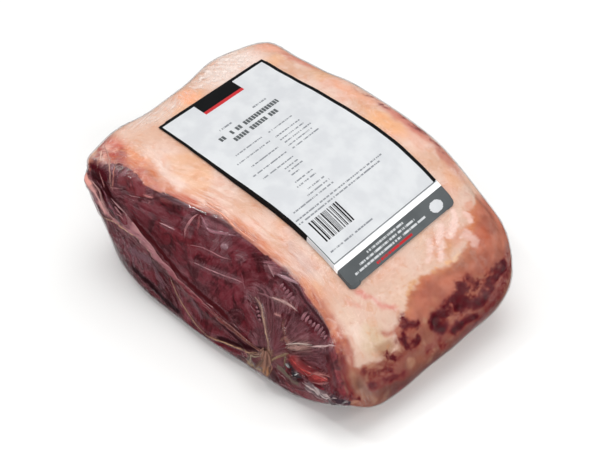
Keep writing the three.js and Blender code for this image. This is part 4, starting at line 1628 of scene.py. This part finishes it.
@dataclass
class SeamFlap:
    """The loose edge of the bag's seam, which lies across the cut side as a flat ribbon.

    Args:
        form: the pack's form that it lies on.
        upper: its upper edge in mm, from the dog ear to the knot.
        lower: its lower edge.
        steps: how many cells it has along.
        strips: how many cells it has across.
        stand: how far its edges stand off the form in mm.
        drawn_out: the length over which its creases are laid out in mm.
    """

    form: PackForm
    upper: Path = ((-77, -84, 61), (-73, -84, 59), (-67, -84, 56), (-61, -84, 52), (-53, -84, 49),
                   (-47, -85, 46), (-40, -85, 43), (-32, -85, 41), (-24, -86, 38), (-14, -86, 37),
                   (-4, -86, 35), (5, -86, 33), (16, -86, 31), (28, -86, 30), (40, -86, 28.5),
                   (51, -87, 29.5), (57, -86, 30))
    lower: Path = ((-92, -86, 48), (-80, -87, 51), (-70, -87, 51), (-62, -86, 49), (-55, -86, 46),
                   (-47, -86, 42), (-40, -86, 39.5), (-33, -86, 38), (-25, -87, 35), (-14, -88, 34),
                   (-5, -87, 32.5), (5, -87, 31), (16, -87, 29), (27, -87, 27.5), (39, -87, 26.5),
                   (54, -88, 28.5))
    steps: int = 150
    strips: int = 10
    stand: float = 0.5
    drawn_out: float = 170.0
    finish: ShrinkFilm = ShrinkFilm("folded_seam_film", 0.12, 2.0, 0.35, 1.4)
    piece: Piece = field(init=False)

    def build(self) -> None:
        """Lays the ribbon between its two edges."""
        top, top_normals = self.form.lay(resample(self.upper, self.steps + 1))
        low, low_normals = self.form.lay(resample(self.lower, self.steps + 1))
        self.piece, index, _, side = flat_grid("seam_flap", self.steps, self.strips)
        share = (1 - side) / 2
        along = index / self.steps
        base = top[index] + (low[index] - top[index]) * share[:, None]
        normals = top_normals[index] + (low_normals[index] - top_normals[index]) * share[:, None]
        ripple = noise_at(np.stack([along * 26, share * 3.5, np.zeros_like(share)], axis=1), 1.0, 3.0)
        lift = self.stand + (1.5 - 0.7 * along) * np.sin(np.pi * share) ** 0.7 * (1 + 0.3 * ripple)
        lift *= smooth(-0.02, 0.06, along) * smooth(1.02, 0.94, along)
        move_to(self.piece, base + normals * lift[:, None])
        edges = smooth(0.82, 1.0, share) + 0.5 * smooth(0.15, 0.0, share)
        set_numbers(self.piece, "milk", np.clip(0.90 + 0.12 * ripple + 0.2 * edges - 0.25 * along, 0, 1))
        tone = tinted(linear_row("a06c72"), "723038", smooth(0.24, 0.50, along))
        tone = tinted(tone, "6e4038", smooth(0.6, 0.85, along))
        pale = (0.7 * edges + 0.25 * smooth(0, 0.8, ripple)) * (1 - 0.45 * along)
        tone = tinted(tone, "c49a92", pale)
        set_colours(self.piece, "milk_and_painted_light_tone", tone)
        set_places(self.piece, "drawn", np.stack([along * self.drawn_out, share * 3, 0 * share], axis=1))

    def dress(self) -> None:
        """Gives the ribbon its material."""
        dress_smooth(self.piece, self.finish.make())


@dataclass
class Knot:
    """The twisted tail of the bag, drawn together at the foot of the cut side.

    Args:
        at: its upper end in mm.
        length: how far it hangs down in mm.
        radius: its girth, before the grooves.
        lean_out: how far it leans away from the meat, as a share of its length.
        spurs: how many grooves run round it.
        outermost: the lowest Y that it reaches in mm, inside the pack's box.
    """

    at: Point = (58.5, -87.0, 33.0)
    length: float = 20.0
    radius: float = 4.6
    lean_out: float = 0.10
    spurs: int = 7
    outermost: float = -95.5
    finish: ShrinkFilm = ShrinkFilm("twisted_film_tail", 0.12, 1.2, 0.5, 1.45)
    piece: Piece = field(init=False)

    def build(self) -> None:
        """Twists a pointed column with deep grooves."""
        bpy.ops.mesh.primitive_cylinder_add(vertices=56, radius=1, depth=1, end_fill_type="NOTHING")
        self.piece = bpy.context.object
        self.piece.name = self.piece.data.name = "film_tail"
        with edit_mode(self.piece):
            bpy.ops.mesh.subdivide(number_cuts=20)
        unit = places_of(self.piece) * MM
        down = 0.5 - unit[:, 2]
        angle = np.arctan2(unit[:, 1], unit[:, 0])
        grooves = np.cos(self.spurs * (angle + 0.9 * down)) + 0.7 * np.cos(4 * angle - 5 * down + 1)
        girth = self.radius * (0.30 + 0.75 * np.sin(np.pi * np.clip(down, 0, 1) ** 0.8) ** 0.8)
        wide = girth * (1 + 0.07 * grooves)
        round_it = np.stack([np.cos(angle) * 1.6, np.sin(angle) * 1.6, down * 5], axis=1)
        crumple = 1.6 * noise_at(round_it, 1.0, 8.0)
        x = self.at[0] + (wide + crumple) * np.cos(angle) + 2.5 * down
        y = self.at[1] + 0.55 * (wide + crumple) * np.sin(angle) - self.lean_out * self.length * down
        z = self.at[2] - self.length * down
        move_to(self.piece, np.stack([x, np.maximum(y, self.outermost), z], axis=1))
        set_numbers(self.piece, "milk", np.clip(0.86 + 0.06 * grooves, 0, 1))
        tone = tinted(linear_row("8c6658"), "a0704e", smooth(0.45, 0.8, down))
        # painted shade: darker in the grooves of the twisted tail
        tone = tinted(tone, "6c4a40", smooth(0.2, -1.0, grooves))
        set_colours(self.piece, "milk_and_painted_light_tone", tone)
        set_places(self.piece, "drawn", np.stack([down * self.length, angle * self.radius, 0 * down], axis=1))

    def dress(self) -> None:
        """Gives the tail its material."""
        dress_smooth(self.piece, self.finish.make())


# ---------------------------------------------------------------- the label


class Ink(Enum):
    """What a place on the label is printed with. The value is its material slot."""

    PAPER = 0
    BLACK = 1
    GREY = 2
    WHITE = 3
    TEXT = 4
    RED = 5
    PAPER_ON_GREY = 6


@dataclass(frozen=True)
class Area:
    """A printed rectangle on the flat label, in mm.

    The first two numbers run along the label from its back edge, and the last two across it
    from its middle line towards the far side.
    """

    ink: Ink
    back: float
    front: float
    near: float
    far: float


@dataclass(frozen=True)
class WordRow:
    """A row of small strokes, as print looks from a step away.

    Where it lies and how high it is, then its ink, the share of gaps and the size of a stroke.
    """

    at: float
    near: float
    far: float
    height: float = 1.2
    ink: Ink = Ink.TEXT
    gap_share: float = 0.26
    stroke: float = 0.5


AREAS = tuple(Area(*row) for row in (
    (Ink.BLACK, -1, 2.8, -50, 50),
    (Ink.BLACK, 2.8, 146, -50, -47.5),
    (Ink.BLACK, 2.8, 171, 46.3, 50),
    (Ink.BLACK, 2.8, 12.8, -18.5, 17.5),
    (Ink.RED, 12.8, 15.8, -18.5, 17.5),
    (Ink.GREY, 171.0, 171.6, -48, 48),
    # painted highlight: where glare lies on the near border, from 146 to 171 mm, it is a thin grey line
    # instead of black ink
    (Ink.GREY, 146, 171.0, -48.2, -47.5),
    (Ink.WHITE, 172.2, 176.0, -50, 50),
    (Ink.GREY, 176.0, 192, -50, 50),
))

WORD_ROWS = tuple(WordRow(*row) for row in (
    (35.0, -24, -12, 1.6), (35.0, 7, 20, 1.6),
    (42.5, -30, 24, 4.2, Ink.GREY, 0.14, 2.5), (49.7, -23, 17, 4.2, Ink.GREY, 0.14, 2.5),
    (61.5, -33, -9), (62, -3, 19.5),
    (68.5, -38, -8), (69, -3, 19.5), (73.5, -3, 19), (77, -33, -8),
    (77.5, -3, 22), (81.5, -3, 19), (84.5, -39, -8), (85.5, -3, 22),
    (91, -41, -8), (95.5, -20, -8), (99, -20, -7), (103, -21, -14),
    (109.5, -24, -8), (113.5, -26, -9), (119.5, -22, -7), (123.3, -26, -6),
    (127, -43, -5), (132.8, -46, 34), (136, -46, 29), (164, -44, -5),
    (178.8, -25, 9, 1.5, Ink.PAPER_ON_GREY, 0.25),
    (182.0, -34, 17, 1.5, Ink.PAPER_ON_GREY, 0.25),
    (185.2, -41, 25, 1.5, Ink.PAPER_ON_GREY, 0.25),
    (188.4, -24, 9, 1.7, Ink.RED, 0.2),
))


@dataclass
class PaperLabel:
    """The printed label, cut from the flat and laid on the joint.

    Args:
        node: the CAD node's object, whose top the label follows.
        form: the pack's form under it.
        length: size of the flat label along the joint in mm.
        width: its size across the joint in mm.
        thickness: of the paper in mm.
        front_corner: radius of its two front corners in mm.
        clearance: how far it stays off the form in mm.
        settle: how far it sinks from its solid's top in mm.
        inset: how far from the solid's ends its top is still read in mm.
        seed: of the random widths of the bars and the random gaps in the print.
        bars: where the bars start and end, along the label and then across it, in mm.
        seal: middle of the bare oval, along and across, and its half sizes, in mm.
    """

    node: Piece
    form: PackForm
    length: float = 191.0
    width: float = 98.0
    thickness: float = 0.16
    front_corner: float = 4.0
    clearance: float = 0.45
    settle: float = 0.16
    inset: float = 0.2
    seed: int = 11
    bars: tuple[float, float, float, float] = (139.0, 157.0, -41.0, -14.5)
    seal: tuple[float, float, float, float] = (184.4, 36.0, 4.2, 5.4)
    piece: Piece = field(init=False)
    tree: BVHTree = field(init=False)
    reach_x: tuple[float, float] = field(init=False)
    back_x: float = field(init=False)
    back_y: float = field(init=False)
    draws: random.Random = field(init=False)
    stations: Array = field(init=False)
    xs: Array = field(init=False)

    def __post_init__(self) -> None:
        """Reads the label's place from its CAD node."""
        self.tree = BVHTree.FromObject(self.node, bpy.context.evaluated_depsgraph_get())
        low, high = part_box(self.node.name)
        self.reach_x = (low.x + self.inset * MM, high.x - self.inset * MM)
        self.back_x = low.x / MM
        self.back_y = high.y / MM - self.width / 2
        self.draws = random.Random(self.seed)
        steps = np.arange(0, self.length + 30, 0.5)
        heights = [self.height(self.back_x + s, self.back_y) for s in steps]
        rises = np.hypot(0.5, np.diff(heights))
        self.stations = np.concatenate([[0], np.cumsum(rises)])
        self.xs = self.back_x + steps

    def height(self, x: float, y: float) -> float:
        """Height of the label's top at a place, all in mm."""
        inside = min(max(x * MM, self.reach_x[0]), self.reach_x[1])
        return max(height_under(self.tree, inside, y * MM), self.form.top(x, y) + self.clearance)

    def build(self) -> None:
        """Cuts and prints the label flat, and lays it on the joint."""
        seal = [self.seal[0] + 0.5 * i for i in range(-9, 10)]
        backs = self.cuts([a.back for a in AREAS] + [a.front for a in AREAS] + seal, 0, self.length, 3.0,
                          [(r.at, r.height) for r in WORD_ROWS], self.bars[:2])
        acrosses = self.cuts([a.near for a in AREAS] + [a.far for a in AREAS], -self.width / 2,
                             self.width / 2, 0.5, [], self.bars[2:])
        bar_edges = self.bar_edges()
        acrosses = sorted(set(acrosses) | set(bar_edges))
        self.piece, column, row, _ = flat_grid("label_paper", len(backs) - 1, len(acrosses) - 1)
        u, v = np.array(backs)[column], np.array(acrosses)[row]
        self.print_on(u, v, bar_edges)
        u, v = self.round_corners(u, v)
        self.lay(u, v)
        finish_with(self.piece, "SOLIDIFY", thickness=self.thickness * MM, offset=-1.0)

    def cuts(self, edges: list, low: float, high: float, step: float, rows: list, span: tuple) -> list[float]:
        """Finds where the flat sheet is cut along one direction.

        Args:
            edges: edges of printed areas in mm.
            low: where the sheet starts.
            high: where it ends.
            step: the widest cell.
            rows: middles and heights of rows of print.
            span: start and end of the bars.

        Returns:
            The cuts in order, none closer than a tenth of a millimetre.
        """
        wanted = [low, high, *edges, *span]
        for at, height in rows:
            wanted += [at - height / 2, at + height / 2]
        found: list[float] = []
        for cut in sorted(w for w in wanted if low <= w <= high):
            if not found or cut - found[-1] > 0.1:
                found.append(cut)
        filled = [found[0]]
        for cut in found[1:]:
            pieces = max(1, math.ceil((cut - filled[-1]) / step))
            start = filled[-1]
            filled += [start + (cut - start) * i / pieces for i in range(1, pieces + 1)]
        return filled

    def bar_edges(self) -> list[float]:
        """Draws plain bars of random widths, as on any pack. They say nothing.

        Returns:
            Their edges across the label in mm.
        """
        edges = [self.bars[2]]
        while edges[-1] < self.bars[3] - 1.2:
            edges.append(edges[-1] + self.draws.choice([0.42, 0.42, 0.8, 1.2]))
        return edges + [self.bars[3]]

    def print_on(self, u: Array, v: Array, bar_edges: list[float]) -> None:
        """Gives each cell of the flat sheet its ink.

        Args:
            u: how far each vertex lies from the back edge in mm.
            v: how far it lies from the middle line.
            bar_edges: edges of the bars.
        """
        for finish in LABEL_FINISHES:
            self.piece.data.materials.append(finish.make())
        inks: dict[tuple[int, int], Ink] = {}
        for polygon in self.piece.data.polygons:
            corners = list(polygon.vertices)
            middle_u, middle_v = float(u[corners].mean()), float(v[corners].mean())
            ink = self.ink_at(middle_u, middle_v, bar_edges, inks)
            polygon.material_index = ink.value

    def ink_at(self, u: float, v: float, bar_edges: list[float], words: dict) -> Ink:
        """Finds the ink at a place on the flat label.

        Args:
            u: how far the place lies from the back edge in mm.
            v: how far it lies from the middle line.
            bar_edges: edges of the bars.
            words: the strokes drawn so far, to which new ones are added.

        Returns:
            The ink.
        """
        ink = Ink.PAPER
        for area in AREAS:
            if area.back < u < area.front and area.near < v < area.far:
                ink = area.ink
        if self.bars[0] < u < self.bars[1] and self.bars[2] < v < self.bars[3]:
            return Ink.BLACK if np.searchsorted(bar_edges, v) % 2 else Ink.PAPER
        at_u, at_v, half_u, half_v = self.seal
        if math.hypot((u - at_u) / half_u, (v - at_v) / half_v) < 1:
            return Ink.PAPER
        for number, row in enumerate(WORD_ROWS):
            if abs(u - row.at) < row.height / 2 and row.near < v < row.far:
                stroke = int((v - row.near) / row.stroke)
                key = (number, stroke)
                if key not in words:
                    words[key] = Ink.PAPER if self.draws.random() < row.gap_share else row.ink
                between = (v - row.near) / row.stroke - stroke > 0.78 and row.stroke > 1
                return ink if between or words[key] == Ink.PAPER else words[key]
        return ink

    def round_corners(self, u: Array, v: Array) -> tuple[Array, Array]:
        """Rounds the two corners at the front of the flat sheet.

        Args:
            u: how far each vertex lies from the back edge in mm.
            v: how far it lies from the middle line.

        Returns:
            The same two measures, pulled in at the corners.
        """
        reach = self.front_corner
        a = np.clip((u - (self.length - reach)) / reach, 0, 1)
        b = np.clip((np.abs(v) - (self.width / 2 - reach)) / reach, 0, 1)
        new_u = np.where(a > 0, self.length - reach + reach * a * np.sqrt(1 - b * b / 2), u)
        new_v = np.where(b > 0, np.sign(v) * (self.width / 2 - reach + reach * b * np.sqrt(1 - a * a / 2)), v)
        return new_u, new_v

    def lay(self, u: Array, v: Array) -> None:
        """Bends the flat sheet over the joint, with gently wavy edges.

        Args:
            u: how far each vertex lies from the back edge in mm.
            v: how far it lies from the middle line.
        """
        x = np.interp(u, self.stations, self.xs)
        y = self.back_y + v + LABEL_TURN * (x - self.back_x)
        flat = np.stack([u, v, np.zeros_like(u)], axis=1)
        z = np.array([self.height(a, b) for a, b in zip(x, y)])
        z += 0.15 * noise_at(flat, 24, 2.0) - self.settle
        edge = smooth(self.width / 2 - 12, self.width / 2, np.abs(v))
        y += 0.5 * edge * noise_at(flat, 16, 8.0)
        move_to(self.piece, np.stack([x, y, z], axis=1))

    def dress(self) -> None:
        """Keeps the sheet's faces smooth across its curve."""
        only(self.piece)
        bpy.ops.object.shade_smooth_by_angle(angle=math.radians(40))


LABEL_FINISHES = (
    PlainFinish("coated_label_paper", "cdcfd1", "c4c6c9", 0.5, 14.0),
    PlainFinish("black_label_ink", "08090b", "0c0d0f", 0.6, 18.0, 0.08),
    PlainFinish("grey_label_ink", "4d5153", "565a5c", 0.5),
    PlainFinish("bare_white_label_paper", "fbfbfa", "f6f7f7", 0.5),
    PlainFinish("fine_print_ink", "7c7f84", "898c90", 0.5),
    PlainFinish("red_label_ink", "b8262c", "ab2429", 0.5),
    PlainFinish("reversed_fine_print", "b9bcbe", "c6c8ca", 0.5),
)


# ---------------------------------------------------------------- the studio


@dataclass(frozen=True)
class SoftBox:
    """A soft studio lamp: where it hangs, where it points, its size in metres and its power.

    The last setting says whether the film mirrors it.
    """

    name: str
    at: Point
    towards: Point
    size: float
    power: float
    mirrored: bool = True

    def hang(self) -> None:
        """Puts the lamp into the scene."""
        light = bpy.data.lights.new(self.name, "AREA")
        light.shape = "SQUARE"
        light.size = self.size
        light.energy = self.power
        lamp = bpy.data.objects.new(self.name, light)
        lamp.location = self.at
        way = Vector(self.towards) - Vector(self.at)
        lamp.rotation_euler = way.to_track_quat("-Z", "Y").to_euler()
        lamp.visible_glossy = self.mirrored
        bpy.context.scene.collection.objects.link(lamp)


@dataclass(frozen=True)
class Studio:
    """A pale floor, soft light from above, and the camera."""

    azimuth: float = 45.0
    elevation: float = 42.0
    lens: float = 100.0
    distance: float = 1.130
    target: Point = (0.00193, 0.00108, 0.048)
    floor_size: float = 40.0
    floor_drop: float = 0.0004
    sky: float = 0.52
    walls: float = 0.08
    ground: float = 0.45
    lamps: tuple[SoftBox, ...] = (
        SoftBox("top_softbox", (-0.25, 0.20, 1.40), (0, 0, 0.05), 1.1, 8.5),
        SoftBox("front_softbox", (0.9, -0.9, 0.7), (0, 0, 0.05), 0.7, 7.0),
        SoftBox("side_softbox", (0.98, 0.78, 0.8), (0, 0, 0.05), 0.34, 3.6, False),
        SoftBox("glint_lamp", (-0.62, -0.42, 1.15), (0, 0, 0.05), 0.16, 2.8),
    )

    def build(self) -> None:
        """Sets up floor, light and camera."""
        bpy.ops.mesh.primitive_plane_add(size=self.floor_size, location=(0, 0, -self.floor_drop))
        floor = bpy.context.object
        floor.name = "floor"
        floor.data.materials.append(PlainFinish("pale_painted_floor", "f4f4f3", "f1f1f0", 0.9, 400.0).make())
        floor.visible_glossy = False
        for lamp in self.lamps:
            lamp.hang()
        world = bpy.data.worlds.new("studio")
        bpy.context.scene.world = world
        world.use_nodes = True
        tree = world.node_tree
        place = add_node(tree, "TexCoord").outputs["Generated"]
        height = add_node(tree, "SeparateXYZ", {0: place}).outputs[2]
        above = ramp_between(tree, height, -0.05, 0.30)
        below = maths(tree, "MULTIPLY", ramp_between(tree, height, -0.50, -0.75), self.ground)
        strength = maths(tree, "MULTIPLY_ADD", above, self.sky, maths(tree, "ADD", below, self.walls))
        background = tree.nodes["Background"]
        background.inputs["Color"].default_value = (1, 1, 1, 1)
        tree.links.new(strength, background.inputs["Strength"])
        bpy.context.scene.view_settings.view_transform = "Standard"
        self.place_camera()

    def place_camera(self) -> None:
        """Looks down on the cut side and the fat end."""
        turn, rise = math.radians(self.azimuth), math.radians(self.elevation)
        back = Vector((math.sin(turn) * math.cos(rise), -math.cos(turn) * math.cos(rise), math.sin(rise)))
        data = bpy.data.cameras.new("camera")
        data.lens = self.lens
        data.clip_end = 100
        camera = bpy.data.objects.new("camera", data)
        camera.location = Vector(self.target) + back * self.distance
        camera.rotation_euler = (-back).to_track_quat("-Z", "Y").to_euler()
        bpy.context.scene.collection.objects.link(camera)
        bpy.context.scene.camera = camera


# ---------------------------------------------------------------- putting it together


def main() -> None:
    """Builds the studio and every piece of the pack round the frame, in order."""
    logging.basicConfig(level=logging.INFO, format="%(message)s")
    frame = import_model()

    Studio().build()
    form = PackForm(frame["nodes"]["vacuum_pack"])

    meat, film, folds, flap, knot = BeefJoint(form), FilmSkin(form), FilmFolds(form), SeamFlap(form), Knot()
    label = PaperLabel(frame["nodes"]["label"], form)
    for assembly in (meat, film, folds, flap, knot, label):
        assembly.build()
        assembly.dress()

    slots = {"beef_meat": [meat.piece], "label_paper": [label.piece],
             "shrink_film": [film.piece, film.cut_side, folds.piece, flap.piece, knot.piece]}
    for slot, pieces in slots.items():
        for piece in pieces:
            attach(piece, "root")
            log.info("%s: %d faces, slot %s", piece.name, len(piece.data.polygons), slot)
    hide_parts("vacuum_pack")
    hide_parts("label")


if __name__ == "__main__":
    main()
